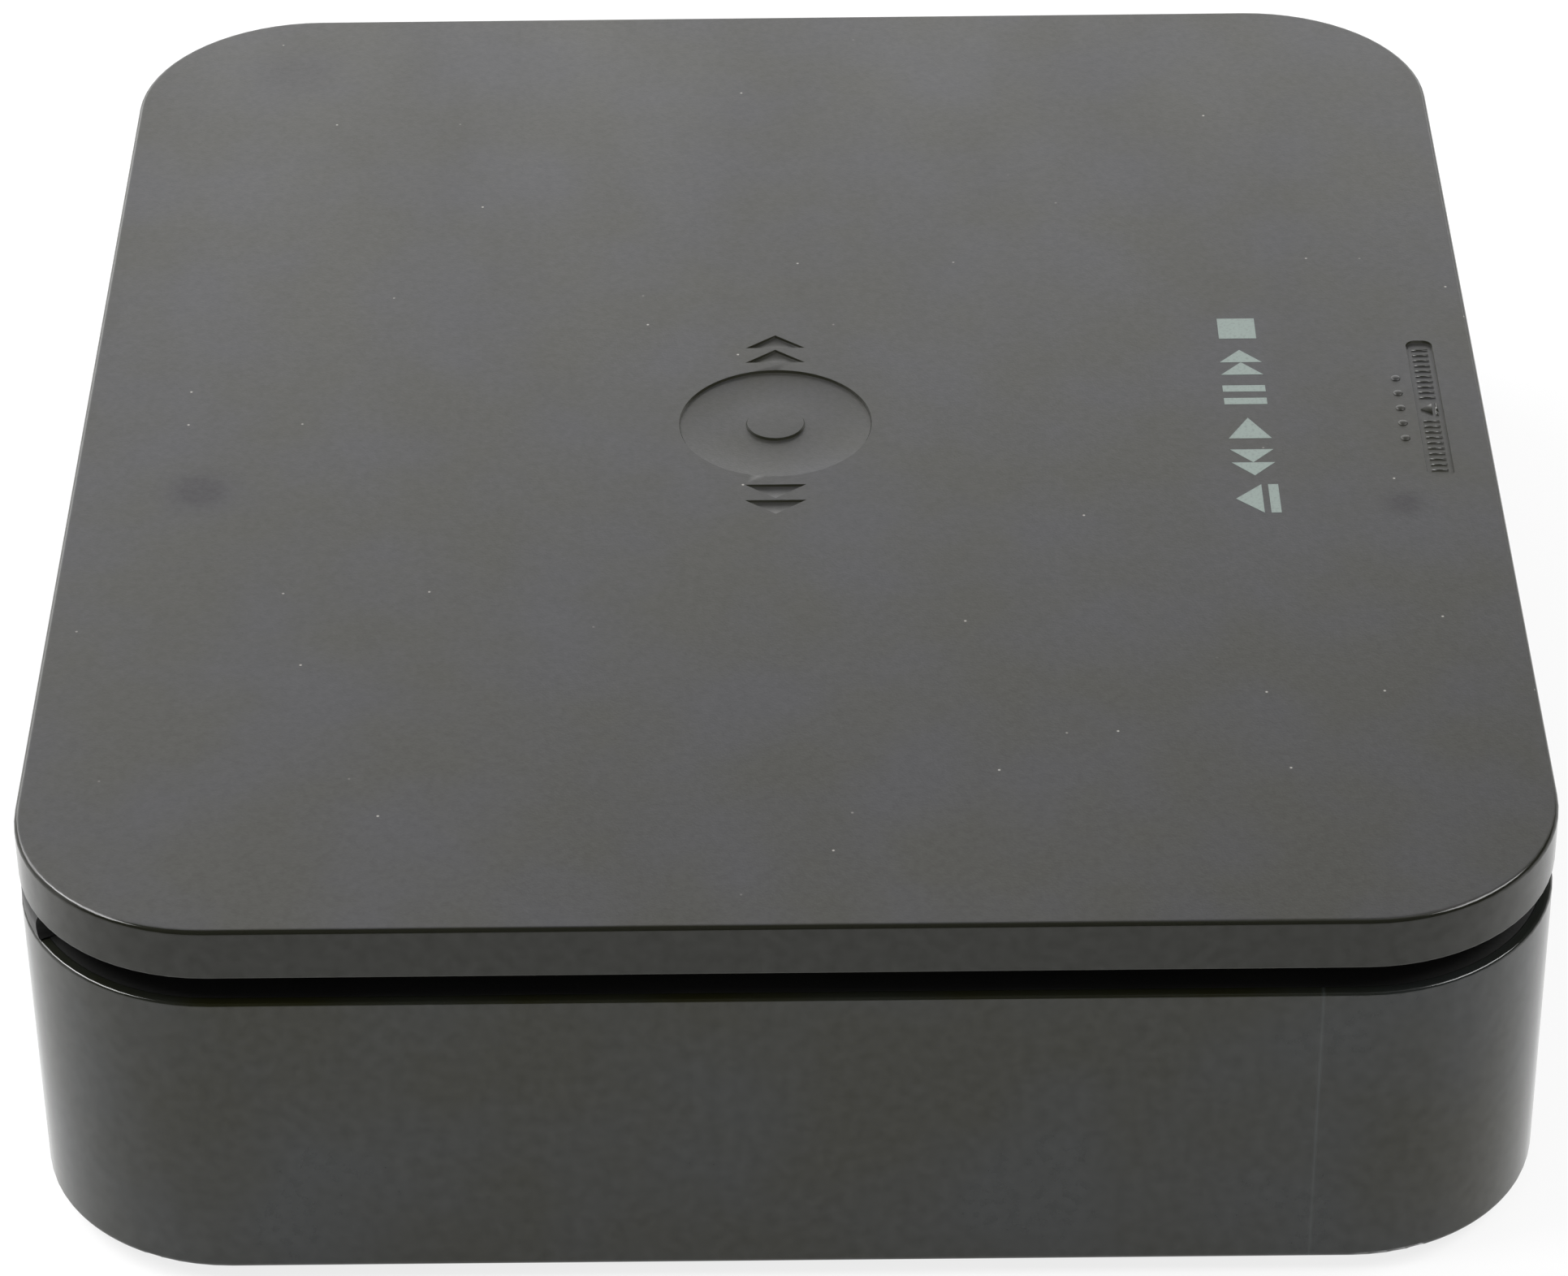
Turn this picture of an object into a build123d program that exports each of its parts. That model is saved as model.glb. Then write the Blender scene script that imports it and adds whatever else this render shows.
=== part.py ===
from build123d import *
import os
from math import acos, cos, degrees, pi, radians, sin, tan

# Compact top-loading disc player, in millimetres.
# +Z is up, the front is -Y, and the origin is under the middle of the case, on the table.

os.makedirs("parts", exist_ok=True)

# The disc
disc_radius = 60.0
disc_bore_radius = 7.5
disc_thickness = 1.2
disc_room = 2.0

# Outside of the case, which is as large as the disc's well and the room around it
side_margin = 37.0
end_margin = 23.0
well_radius = disc_radius + disc_room
case_width = 2 * (well_radius + side_margin)
case_depth = 2 * (well_radius + end_margin)
case_corner_radius = 22.6
foot_height = 2.0
groove_height = 3.5
lid_height = 6.5
case_edge_round = 0.8
rim_edge_round = 0.4
lid_edge_round = 0.6

# Walls
case_wall = 2.2
floor_thickness = 2.0
lid_wall = 2.0
deck_thickness = 2.0
well_wall = 1.8

# Clearances
seam_gap = 0.1
slip_gap = 0.2
free_gap = 0.3
shaft_gap = 0.05
thread_gap = 0.02
overrun = 6.0

# What stands on the floor, and the disc drive above it, which set the height of the case
board_lift = 5.0
board_thickness = 1.6
board_room = 2.0
feed_can_height = 11.5
plateau_rise = 2.2
well_depth = 6.7
disc_lift = 3.4
mat_thickness = 0.5
turntable_thickness = 1.5
rotor_neck = 2.3
rotor_height = 4.2
motor_height = 4.8
chassis_thickness = 1.2
disc_drop = well_depth - plateau_rise - disc_lift
drive_height = (mat_thickness + turntable_thickness + rotor_neck + rotor_height + free_gap + motor_height
                + chassis_thickness)

# Heights of the case
floor_z = foot_height + floor_thickness
shell_height = (floor_thickness + board_lift + board_thickness + board_room + feed_can_height + drive_height
                + disc_drop)
rim_z = foot_height + shell_height
lid_z = rim_z + groove_height
top_z = lid_z + lid_height
half_width = case_width / 2
half_depth = case_depth / 2

# The deck and its disc well
rim_lip = 1.2
neck_inset = 5.2
neck_wall = 1.6
deck_seat_z = rim_z - deck_thickness
plateau_z = rim_z + plateau_rise
plateau_under_z = plateau_z - deck_thickness
well_floor_z = plateau_z - well_depth
well_under_z = well_floor_z - well_wall

# The disc drive, hung under the deck around the disc's axis
disc_seat_z = well_floor_z + disc_lift
turntable_z = disc_seat_z - mat_thickness - turntable_thickness
rotor_z = turntable_z - rotor_neck - rotor_height
chassis_top_z = rotor_z - free_gap - motor_height
chassis_z = chassis_top_z - chassis_thickness
lens_radius = 24.0
sled_travel = 34.0
rod_y = 24.0
rod_radius = 1.5
rod_lift = 3.4
rod_z = chassis_top_z + rod_lift

# The hinge: its axis runs along X inside the rear edge
hinge_inset = 1.75
hinge_drop = 1.8
pin_radius = 0.75
knuckle_radius = 1.45
riser_radius = hinge_inset - seam_gap
hinge_y = half_depth - hinge_inset
hinge_z = lid_z - hinge_drop
hinge_spacing = 60.0
notch_width = 14.0
knuckle_length = 7.0
knuckle_shift = 3.0

# The push latch, in the middle of the front, halfway between the disc's well and the deck's neck
latch_y = -(well_radius + well_wall + half_depth - neck_inset - neck_wall) / 2

# Fasteners
case_screw_inset = 13.0
case_screw_inset_y = 19.0
screw_x = half_width - case_screw_inset
screw_y = half_depth - case_screw_inset_y
case_screws_at = [(screw_x, screw_y), (-screw_x, screw_y), (screw_x, -screw_y), (-screw_x, -screw_y)]
screw_shank_radius = 1.4
screw_head_radius = 2.7
screw_head_height = 1.8
small_shank_radius = 0.9
small_head_radius = 1.8
small_head_height = 1.1
small_screw_length = 5.0

UP = (Align.CENTER, Align.CENTER, Align.MIN)
DOWN = (Align.CENTER, Align.CENTER, Align.MAX)


def case_outline(inset):
    """Plan of the case, drawn in by an inset, in the sketch that is open."""
    return RectangleRounded(case_width - 2 * inset, case_depth - 2 * inset, case_corner_radius - inset)


def column(x, y, z, radius, height, mode=Mode.ADD):
    """Upright cylinder that stands on height z, in the part that is open."""
    with Locations((x, y, z)):
        Cylinder(radius, height, align=UP, mode=mode)


def block(x, y, z, size_x, size_y, size_z, mode=Mode.ADD):
    """Upright box that stands on height z, centred on x and y, in the part that is open."""
    with Locations((x, y, z)):
        Box(size_x, size_y, size_z, align=UP, mode=mode)


def rod_along(axis_plane, radius, length, mode=Mode.ADD):
    """Cylinder from a plane's origin along its normal, in the part that is open."""
    with Locations(axis_plane):
        Cylinder(radius, length, align=UP, mode=mode)


def facing_x(x, y, z):
    """Plane whose normal is +X."""
    return Plane(origin=(x, y, z), x_dir=(0, 1, 0), z_dir=(1, 0, 0))


def facing_front(x, y, z):
    """Plane whose normal is -Y, towards the front of the player."""
    return Plane(origin=(x, y, z), x_dir=(1, 0, 0), z_dir=(0, -1, 0))


# Main board: where it stands, because the case carries its posts
board_inset_left = 37.0
board_inset_right = 35.0
board_z = floor_z + board_lift
board_top_z = board_z + board_thickness
board_left = -half_width + board_inset_left
board_right = half_width - board_inset_right
guide_wall = 1.8
guide_lip = 4.0
guide_inset_left = 24.0
guide_inset_right = 18.0
guide_width = 5.0
front_board_inset_left = 63.0
front_board_inset_right = 19.0
front_board_left = -half_width + front_board_inset_left
front_board_right = half_width - front_board_inset_right
guide_places = (front_board_left + guide_inset_left, front_board_right - guide_inset_right)
front_board_thickness = 1.6
front_board_gap = 4.2
front_board_y = -half_depth + case_wall + front_board_gap
board_front = front_board_y + front_board_thickness + seam_gap + guide_wall + free_gap
post_radius = 3.0
post_inset = 5.0

# Connector bay, sunk into the rear wall
bay_width = 96.0
bay_height = 20.0
bay_depth = 8.5
bay_x = -8.0
bay_rise = 4.0
bay_wall = 2.0
bay_z = floor_z + bay_rise
bay_wall_y = half_depth - bay_depth
bay_inner_y = bay_wall_y - bay_wall
board_gap = 0.5
board_rear = bay_inner_y - board_gap
board_posts_at = [
    (x, y)
    for x in (board_left + post_inset, board_right - post_inset)
    for y in (board_front + 3 * post_inset, board_rear - 2 * post_inset)
]

# Sockets
phono_spacing = 14.0
phono_shift = 8.0
phono_radius = 4.15
phono_rise = 8.0
phono_z = board_top_z + phono_rise
phono_places = [bay_x + phono_shift + phono_spacing * step for step in (-1, 0, 1)]
video_shift = 32.0
video_x = bay_x - video_shift
video_width = 15.0
video_height = 6.0
video_lift = 1.0
video_z = board_top_z + video_lift + video_height / 2
power_shift = 38.0
power_x = bay_x + power_shift
power_width = 9.0
power_height = 11.0
power_z = board_top_z + power_height / 2
media_inset = 49.0
media_x = -half_width + media_inset
media_width = 13.2
media_height = 5.8
media_z = board_top_z + media_height / 2

# Front controls
button_width = 9.0
button_height = 4.0
button_round = 0.8
button_spacing = 16.0
button_inset = 63.0
button_rise = 20.0
button_first_x = half_width - button_inset
button_z = floor_z + button_rise
button_places = [button_first_x + button_spacing * step for step in range(3)]
window_width = 16.0
window_height = 6.0
window_round = 1.5
window_inset = 77.0
window_x = -half_width + window_inset
front_board_height = 20.0
front_board_z = board_z

# Lower case: a deep moulded tub with a recessed connector bay
boss_radius = 4.2
boss_joint_drop = 10.0
boss_joint_z = rim_z - boss_joint_drop
screw_well_radius = 3.0
screw_seat_rise = 14.0
screw_seat_z = foot_height + screw_seat_rise
vent_length = 34.0
vent_width = 2.2
vent_pitch = 7.0
vent_count = 9
vent_y = 20.0
hole_gap = 0.15

with BuildPart() as lower_case:
    with BuildSketch(Plane.XY.offset(foot_height)):
        case_outline(0)
    extrude(amount=shell_height)
    fillet(lower_case.faces().sort_by(Axis.Z)[0].edges(), radius=case_edge_round)
    fillet(lower_case.faces().sort_by(Axis.Z)[-1].edges(), radius=rim_edge_round)
    with BuildSketch(Plane.XY.offset(floor_z)):
        case_outline(case_wall)
    extrude(amount=shell_height, mode=Mode.SUBTRACT)
    with BuildSketch(Plane.XY.offset(deck_seat_z)):
        case_outline(rim_lip)
    extrude(amount=overrun, mode=Mode.SUBTRACT)
    block(bay_x, (bay_inner_y + half_depth - case_wall) / 2, bay_z - bay_wall,
          bay_width + 2 * bay_wall, half_depth - case_wall - bay_inner_y, bay_height + 2 * bay_wall)
    block(bay_x, bay_wall_y + (bay_depth + overrun) / 2, bay_z,
          bay_width, bay_depth + overrun, bay_height, mode=Mode.SUBTRACT)
    for x, y in case_screws_at:
        column(x, y, foot_height + floor_thickness / 2, boss_radius,
               boss_joint_z - foot_height - floor_thickness / 2)
    for x, y in case_screws_at:
        column(x, y, foot_height - overrun, screw_shank_radius + slip_gap, shell_height, mode=Mode.SUBTRACT)
        column(x, y, foot_height - overrun, screw_well_radius,
               screw_seat_z - foot_height + overrun, mode=Mode.SUBTRACT)
    for x, y in board_posts_at:
        column(x, y, floor_z, post_radius, board_lift)
        column(x, y, floor_z, small_shank_radius + thread_gap, board_lift + overrun, mode=Mode.SUBTRACT)
    for x in guide_places:
        block(x, front_board_y + front_board_thickness / 2, floor_z, guide_width,
              front_board_thickness + 2 * (seam_gap + guide_wall), board_lift + guide_lip)
        block(x, front_board_y + front_board_thickness / 2, front_board_z, guide_width + overrun,
              front_board_thickness + 2 * seam_gap, guide_lip + overrun, mode=Mode.SUBTRACT)
    with BuildSketch(Plane.XY.offset(foot_height)):
        with GridLocations(vent_pitch, 0, vent_count, 1):
            with Locations((0, vent_y)):
                SlotOverall(vent_length, vent_width, rotation=90)
    extrude(amount=floor_thickness, mode=Mode.SUBTRACT)
    with BuildSketch(facing_front(0, -half_depth + case_wall, 0)):
        for x in button_places:
            with Locations((x, button_z)):
                RectangleRounded(button_width + 2 * hole_gap, button_height + 2 * hole_gap,
                                 button_round + hole_gap)
        with Locations((window_x, button_z)):
            RectangleRounded(window_width + 2 * seam_gap, window_height + 2 * seam_gap, window_round + seam_gap)
        with Locations((media_x, media_z)):
            Rectangle(media_width + 2 * slip_gap, media_height + 2 * slip_gap)
    extrude(amount=case_wall, mode=Mode.SUBTRACT)
    with BuildSketch(facing_front(0, bay_wall_y, 0)):
        for x in phono_places:
            with Locations((x, phono_z)):
                Circle(phono_radius + slip_gap)
        with Locations((video_x, video_z)):
            Rectangle(video_width + 2 * slip_gap, video_height + 2 * slip_gap)
        with Locations((power_x, power_z)):
            Rectangle(power_width + 2 * slip_gap, power_height + 2 * slip_gap)
    extrude(amount=bay_wall, mode=Mode.SUBTRACT)
lower_case.part.label = "lower_case"
export_step(lower_case.part, "parts/lower_case.step")

# Riser: the round-backed ridge that closes the groove at the rear and holds the hinge pins. It goes
# on round both rear corners and ends in a concave foot on the rim.
riser_angle = radians(28)
riser_foot = 1.5
riser_foot_share = 0.5
riser_seam = 0.15
riser_base_z = rim_z + riser_seam
riser_front_y = hinge_y - riser_radius
deck_edge_y = half_depth - rim_lip - seam_gap
corner_x = half_width - case_corner_radius
corner_y = half_depth - case_corner_radius
foot_turn = riser_foot / case_corner_radius
notch_places = (-hinge_spacing, hinge_spacing)
notch_drop = 0.15

with BuildPart() as riser:
    with BuildSketch(Plane.YZ) as riser_section:
        with Locations((hinge_y, hinge_z)):
            Circle(riser_radius)
        with Locations((hinge_y, (riser_base_z + hinge_z) / 2)):
            Rectangle(2 * riser_radius, hinge_z - riser_base_z)
        with Locations(((riser_front_y + deck_edge_y) / 2, (rim_z + hinge_z) / 2)):
            Rectangle(deck_edge_y - riser_front_y, hinge_z - rim_z)
    extrude(amount=corner_x, both=True)
    with BuildSketch(Plane.YZ, mode=Mode.PRIVATE) as foot_section:
        with Locations((hinge_y, (riser_base_z + rim_z + riser_foot) / 2)):
            Rectangle(2 * riser_radius, rim_z + riser_foot - riser_base_z)
        with Locations(((riser_front_y + deck_edge_y) / 2, rim_z + riser_foot / 2)):
            Rectangle(deck_edge_y - riser_front_y, riser_foot)
    for side in (1, -1):
        to_corner = Location((side * corner_x, 0, 0))
        corner_axis = Axis((side * corner_x, corner_y, 0), (0, 0, -side))
        revolve(riser_section.sketch.moved(to_corner), axis=corner_axis, revolution_arc=degrees(riser_angle))
        revolve(foot_section.sketch.moved(to_corner), axis=corner_axis,
                revolution_arc=degrees(riser_angle + riser_foot_share * foot_turn))
        foot_end = (side * sin(riser_angle + foot_turn), cos(riser_angle + foot_turn), 0)
        rod_along(Plane(origin=(side * corner_x, corner_y, rim_z + riser_foot), z_dir=foot_end),
                  riser_foot, case_corner_radius, mode=Mode.SUBTRACT)

# Deck: the upper half of the case, with the disc well, sunk on a step inside the rim
spindle_hole_radius = 16.0
slot_half_width = 8.8
slot_margin = 10.5
slot_end_x = lens_radius + sled_travel + slot_margin
finger_radius = 14.0
finger_overlap = 4.0
finger_x = well_radius - finger_overlap
striker_slot_width = 10.0
striker_slot_depth = 6.0
bumper_radius = 2.5
bumper_inset_x = 21.0
bumper_inset_y = 15.0
bumper_places = [(half_width - bumper_inset_x, -half_depth + bumper_inset_y),
                 (-half_width + bumper_inset_x, -half_depth + bumper_inset_y)]
bumper_pocket_depth = 1.2
damper_reach = 2.0
hanger_radius = 4.0
hanger_z = chassis_top_z + damper_reach
hanger_bore_radius = 1.2
hanger_bore_depth = 5.0
chassis_left = -34.0
chassis_side_gap = 2.8
chassis_right = half_width - case_wall - chassis_side_gap
chassis_front = -54.0
chassis_rear = 40.0
damper_inset = 6.0
inner_hangers_at = [(chassis_left + damper_inset, chassis_front + damper_inset),
                    (chassis_left + damper_inset, chassis_rear - damper_inset)]
outer_hangers_at = [(chassis_right - damper_inset, chassis_front + damper_inset),
                    (chassis_right - damper_inset, chassis_rear - damper_inset)]
hangers_at = inner_hangers_at + outer_hangers_at
housing_screw_x = 11.5
housing_flange_drop = 6.7
housing_flange_z = plateau_under_z - housing_flange_drop
housing_flange = 2.5
housing_boss_radius = 2.5
switch_inset_x = 32.4
switch_inset_y = 25.0
switch_x = half_width - switch_inset_x
switch_y = half_depth - switch_inset_y
switch_width = 5.8
switch_length = 12.8
switch_height = 6.5
switch_drop = 6.7
switch_top_z = plateau_under_z - switch_drop
bracket_thickness = 2.0
bracket_length = 15.0
bracket_height = plateau_under_z - switch_top_z + switch_height
bracket_x = switch_x + (switch_width + bracket_thickness) / 2
post_hole_radius = 2.8

with BuildPart() as deck:
    with BuildSketch(Plane.XY.offset(deck_seat_z)):
        case_outline(rim_lip + seam_gap)
    extrude(amount=deck_thickness)
    with BuildSketch(Plane.XY.offset(rim_z)):
        case_outline(neck_inset)
    extrude(amount=plateau_rise)
    fillet(deck.faces().sort_by(Axis.Z)[-1].edges(), radius=rim_edge_round)
    with BuildSketch(Plane.XY.offset(deck_seat_z)):
        case_outline(neck_inset + neck_wall)
    extrude(amount=plateau_under_z - deck_seat_z, mode=Mode.SUBTRACT)
    with BuildSketch(Plane.XY.offset(well_under_z)):
        Circle(well_radius + well_wall)
        with Locations((finger_x, 0), (-finger_x, 0)):
            Circle(finger_radius + well_wall)
    extrude(amount=plateau_under_z - well_under_z)
    with BuildSketch(Plane.XY.offset(well_floor_z)):
        Circle(well_radius)
        with Locations((finger_x, 0), (-finger_x, 0)):
            Circle(finger_radius)
    extrude(amount=well_depth + overrun, mode=Mode.SUBTRACT)
    plateau_arcs = deck.faces().filter_by(Axis.Z).group_by(Axis.Z)[-1].edges().filter_by(GeomType.CIRCLE)
    fillet(plateau_arcs.filter_by(lambda arc: min(abs(arc.radius - well_radius),
                                                  abs(arc.radius - finger_radius)) < seam_gap),
           radius=rim_edge_round)
    with BuildSketch(Plane.XY.offset(well_under_z)):
        Circle(spindle_hole_radius)
        with Locations((slot_end_x / 2, 0)):
            Rectangle(slot_end_x, 2 * slot_half_width)
    extrude(amount=well_wall, mode=Mode.SUBTRACT)
    for x, y in inner_hangers_at:
        column(x, y, hanger_z, hanger_radius, well_under_z - hanger_z)
    for x, y in outer_hangers_at:
        column(x, y, hanger_z, hanger_radius, plateau_under_z - hanger_z)
    for x, y in hangers_at:
        column(x, y, hanger_z, hanger_bore_radius + thread_gap, hanger_bore_depth, mode=Mode.SUBTRACT)
    for x, y in case_screws_at:
        column(x, y, boss_joint_z, boss_radius, plateau_under_z - boss_joint_z)
        column(x, y, boss_joint_z, screw_shank_radius + thread_gap,
               boss_joint_drop - deck_thickness, mode=Mode.SUBTRACT)
    for x in (-housing_screw_x, housing_screw_x):
        column(x, latch_y, housing_flange_z + housing_flange, housing_boss_radius,
               plateau_under_z - housing_flange_z - housing_flange)
        column(x, latch_y, housing_flange_z + housing_flange, small_shank_radius + thread_gap,
               small_screw_length - housing_flange, mode=Mode.SUBTRACT)
    block(0, latch_y, plateau_under_z, striker_slot_width, striker_slot_depth, overrun, mode=Mode.SUBTRACT)
    block(bracket_x, switch_y, switch_top_z - switch_height, bracket_thickness, bracket_length, bracket_height)
    column(switch_x, switch_y, plateau_under_z, post_hole_radius, overrun, mode=Mode.SUBTRACT)
    for x, y in bumper_places:
        column(x, y, plateau_z - bumper_pocket_depth, bumper_radius + slip_gap + free_gap,
               overrun, mode=Mode.SUBTRACT)
    add(riser.part)
    for x in notch_places:
        block(x, hinge_y, rim_z - notch_drop, notch_width, 2 * (riser_radius + free_gap), overrun,
              mode=Mode.SUBTRACT)
        rod_along(facing_x(x - notch_width, hinge_y, hinge_z), pin_radius + thread_gap,
                  2 * notch_width, mode=Mode.SUBTRACT)
deck.part.label = "deck"
export_step(deck.part, "parts/deck.step")

# Rubber feet, stuck under the corners of the floor
foot_radius = 8.0
foot_inset_x = 27.0
foot_inset_y = 29.0
foot_dish_share = 0.6
foot_round = 0.5
foot_dish_depth = 0.5

with BuildPart() as rubber_feet:
    with GridLocations(case_width - 2 * foot_inset_x, case_depth - 2 * foot_inset_y, 2, 2):
        Cylinder(foot_radius, foot_height, align=UP)
    fillet(rubber_feet.faces().group_by(Axis.Z)[0].edges(), radius=foot_round)
    with GridLocations(case_width - 2 * foot_inset_x, case_depth - 2 * foot_inset_y, 2, 2):
        Cylinder(foot_dish_share * foot_radius, foot_dish_depth, align=UP, mode=Mode.SUBTRACT)
rubber_feet.part.label = "rubber_feet"
export_step(rubber_feet.part, "parts/rubber_feet.step")

# Case screws: pan heads deep in the floor's wells, threads in the deck's bosses
recess_share = 0.45
recess_depth_share = 0.6
case_screw_bite = 6.0

with BuildPart() as case_screws:
    for x, y in case_screws_at:
        column(x, y, screw_seat_z - screw_head_height, screw_head_radius, screw_head_height)
        column(x, y, screw_seat_z, screw_shank_radius, boss_joint_z + case_screw_bite - screw_seat_z)
        for angle in (0, 90):
            with Locations(Location((x, y, screw_seat_z - screw_head_height), (0, 0, angle))):
                Box(2 * recess_share * screw_head_radius, recess_share * screw_head_radius / 2,
                    recess_depth_share * screw_head_height, align=UP, mode=Mode.SUBTRACT)
case_screws.part.label = "case_screws"
export_step(case_screws.part, "parts/case_screws.step")

# Hinge pins, pushed into the riser across its two notches
pin_grip = 4.0

with BuildPart() as hinge_pins:
    for x in notch_places:
        rod_along(facing_x(x - notch_width / 2 - pin_grip, hinge_y, hinge_z), pin_radius,
                  notch_width + 2 * pin_grip)
hinge_pins.part.label = "hinge_pins"
export_step(hinge_pins.part, "parts/hinge_pins.step")

# Lid springs: a few turns of wire around each pin, beside the knuckle
spring_wire_radius = 0.18
spring_coil_radius = 1.12
spring_pitch = 0.8
spring_turns = 6
spring_length = spring_pitch * spring_turns

with BuildPart() as lid_springs:
    for side in (-1, 1):
        coil_x = side * hinge_spacing - side * (notch_width / 2 - free_gap - spring_wire_radius)
        with BuildLine(mode=Mode.PRIVATE) as coil_line:
            Helix(spring_pitch, spring_length, spring_coil_radius,
                  center=(coil_x, hinge_y, hinge_z), direction=(side, 0, 0))
        coil_edge = coil_line.edges()[0]
        with BuildSketch(Plane(origin=coil_edge @ 0, z_dir=coil_edge % 0)):
            Circle(spring_wire_radius)
        sweep(path=coil_edge, is_frenet=True)
print("lid spring gap", spring_pitch - 2 * spring_wire_radius)
lid_springs.part.label = "lid_springs"
export_step(lid_springs.part, "parts/lid_springs.step")

# Lid shell: the flat top cover with its skirt and the two hinge knuckles
lid_plate_under_z = top_z - lid_wall
liner_drop = 0.5
liner_thickness = 1.5
liner_z = lid_z + liner_drop
liner_top_z = liner_z + liner_thickness
liner_post_radius = 3.0
liner_screw_inset = 12.0
liner_screws_at = [
    (side_x * (half_width - liner_screw_inset), side_y * (half_depth - liner_screw_inset))
    for side_x in (-1, 1)
    for side_y in (-1, 0, 1)
]
lid_under_round = 0.3

with BuildPart() as lid_shell:
    with BuildSketch(Plane.XY.offset(lid_z)):
        case_outline(0)
    extrude(amount=lid_height)
    fillet(lid_shell.faces().sort_by(Axis.Z)[-1].edges(), radius=lid_edge_round)
    fillet(lid_shell.faces().sort_by(Axis.Z)[0].edges(), radius=lid_under_round)
    with BuildSketch(Plane.XY.offset(lid_z)):
        case_outline(lid_wall)
    extrude(amount=lid_height - lid_wall, mode=Mode.SUBTRACT)
    for x, y in liner_screws_at:
        column(x, y, liner_top_z, liner_post_radius, lid_plate_under_z - liner_top_z)
        column(x, y, liner_top_z, small_shank_radius + thread_gap,
               lid_plate_under_z - liner_top_z, mode=Mode.SUBTRACT)
    for side in (-1, 1):
        knuckle_x = side * (hinge_spacing + knuckle_shift)
        block(knuckle_x, hinge_y, hinge_z, knuckle_length, 2 * knuckle_radius, lid_plate_under_z - hinge_z)
        rod_along(facing_x(knuckle_x - knuckle_length / 2, hinge_y, hinge_z), knuckle_radius, knuckle_length)
        rod_along(facing_x(knuckle_x - knuckle_length, hinge_y, hinge_z), pin_radius + shaft_gap,
                  2 * knuckle_length, mode=Mode.SUBTRACT)
lid_shell.part.label = "lid_shell"
export_step(lid_shell.part, "parts/lid_shell.step")

# Lid liner: the inner cover, with a ring over the disc, the latch foot and the switch post
guard_ring_radius = 52.0
guard_ring_width = 1.5
guard_ring_drop = 1.4
switch_post_radius = 1.6
lever_thickness = 0.4
lever_lift = 0.6
lever_top_z = switch_top_z + lever_lift + lever_thickness

with BuildPart() as lid_liner:
    with BuildSketch(Plane.XY.offset(liner_z)):
        case_outline(lid_wall + seam_gap)
    extrude(amount=liner_thickness)
    for side in (-1, 1):
        block(side * (hinge_spacing + knuckle_shift), hinge_y, liner_z - overrun,
              knuckle_length + 2 * slip_gap, 2 * (knuckle_radius + slip_gap), 2 * overrun, mode=Mode.SUBTRACT)
    with BuildSketch(Plane.XY.offset(liner_z - guard_ring_drop)):
        Circle(guard_ring_radius)
        Circle(guard_ring_radius - guard_ring_width, mode=Mode.SUBTRACT)
    extrude(amount=guard_ring_drop)
    column(switch_x, switch_y, lever_top_z + free_gap, switch_post_radius, liner_z - lever_top_z - free_gap)
    for x, y in liner_screws_at:
        column(x, y, liner_z, small_shank_radius + slip_gap, liner_thickness, mode=Mode.SUBTRACT)
        column(x, y, liner_z, small_head_radius + slip_gap, small_head_height, mode=Mode.SUBTRACT)
lid_liner.part.label = "lid_liner"
export_step(lid_liner.part, "parts/lid_liner.step")


def small_screw(x, y, seat_z, bite):
    """Small pan-head screw from below, head under the seat, in the part that is open."""
    column(x, y, seat_z - small_head_height, small_head_radius, small_head_height)
    column(x, y, seat_z, small_shank_radius, bite)
    for angle in (0, 90):
        with Locations(Location((x, y, seat_z - small_head_height), (0, 0, angle))):
            Box(2 * recess_share * small_head_radius, recess_share * small_head_radius / 2,
                recess_depth_share * small_head_height, align=UP, mode=Mode.SUBTRACT)


# Liner screws, driven up into the shell's posts
liner_screw_share = 0.7
liner_screw_room = lid_plate_under_z - liner_z - small_head_height

with BuildPart() as liner_screws:
    for x, y in liner_screws_at:
        small_screw(x, y, liner_z + small_head_height, liner_screw_share * liner_screw_room)
liner_screws.part.label = "liner_screws"
export_step(liner_screws.part, "parts/liner_screws.step")

# Latch striker: a T-headed tongue under the lid that the latch jaws hold
striker_neck_half = 1.0
striker_head_half = 2.4
striker_thickness = 3.0
striker_drop = 6.2
striker_head_z = well_under_z - striker_drop
striker_head_height = 2.5
striker_head_taper = 1.0
striker_foot_thickness = 1.2
striker_head_top_z = striker_head_z + striker_head_height

with BuildPart() as latch_striker:
    with BuildSketch(facing_front(0, latch_y + striker_thickness / 2, 0)):
        with BuildLine():
            Polyline(
                (-striker_neck_half, liner_z),
                (-striker_neck_half, striker_head_top_z),
                (-striker_head_half, striker_head_top_z),
                (-striker_head_half, striker_head_z + striker_head_taper),
                (-striker_head_half + striker_head_taper, striker_head_z),
                (striker_head_half - striker_head_taper, striker_head_z),
                (striker_head_half, striker_head_z + striker_head_taper),
                (striker_head_half, striker_head_top_z),
                (striker_neck_half, striker_head_top_z),
                (striker_neck_half, liner_z),
                close=True,
            )
        make_face()
    extrude(amount=striker_thickness)
    block(0, latch_y, liner_z - striker_foot_thickness, 3 * striker_head_half, striker_thickness,
          striker_foot_thickness)
latch_striker.part.label = "latch_striker"
export_step(latch_striker.part, "parts/latch_striker.step")

# Lid bumpers: rubber buttons that stop the lid when it is pressed
bumper_height = 1.6

with BuildPart() as lid_bumpers:
    for x, y in bumper_places:
        column(x, y, liner_z - bumper_height, bumper_radius, bumper_height)
    fillet(lid_bumpers.faces().group_by(Axis.Z)[0].edges(), radius=rim_edge_round)
lid_bumpers.part.label = "lid_bumpers"
export_step(lid_bumpers.part, "parts/lid_bumpers.step")

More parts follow.
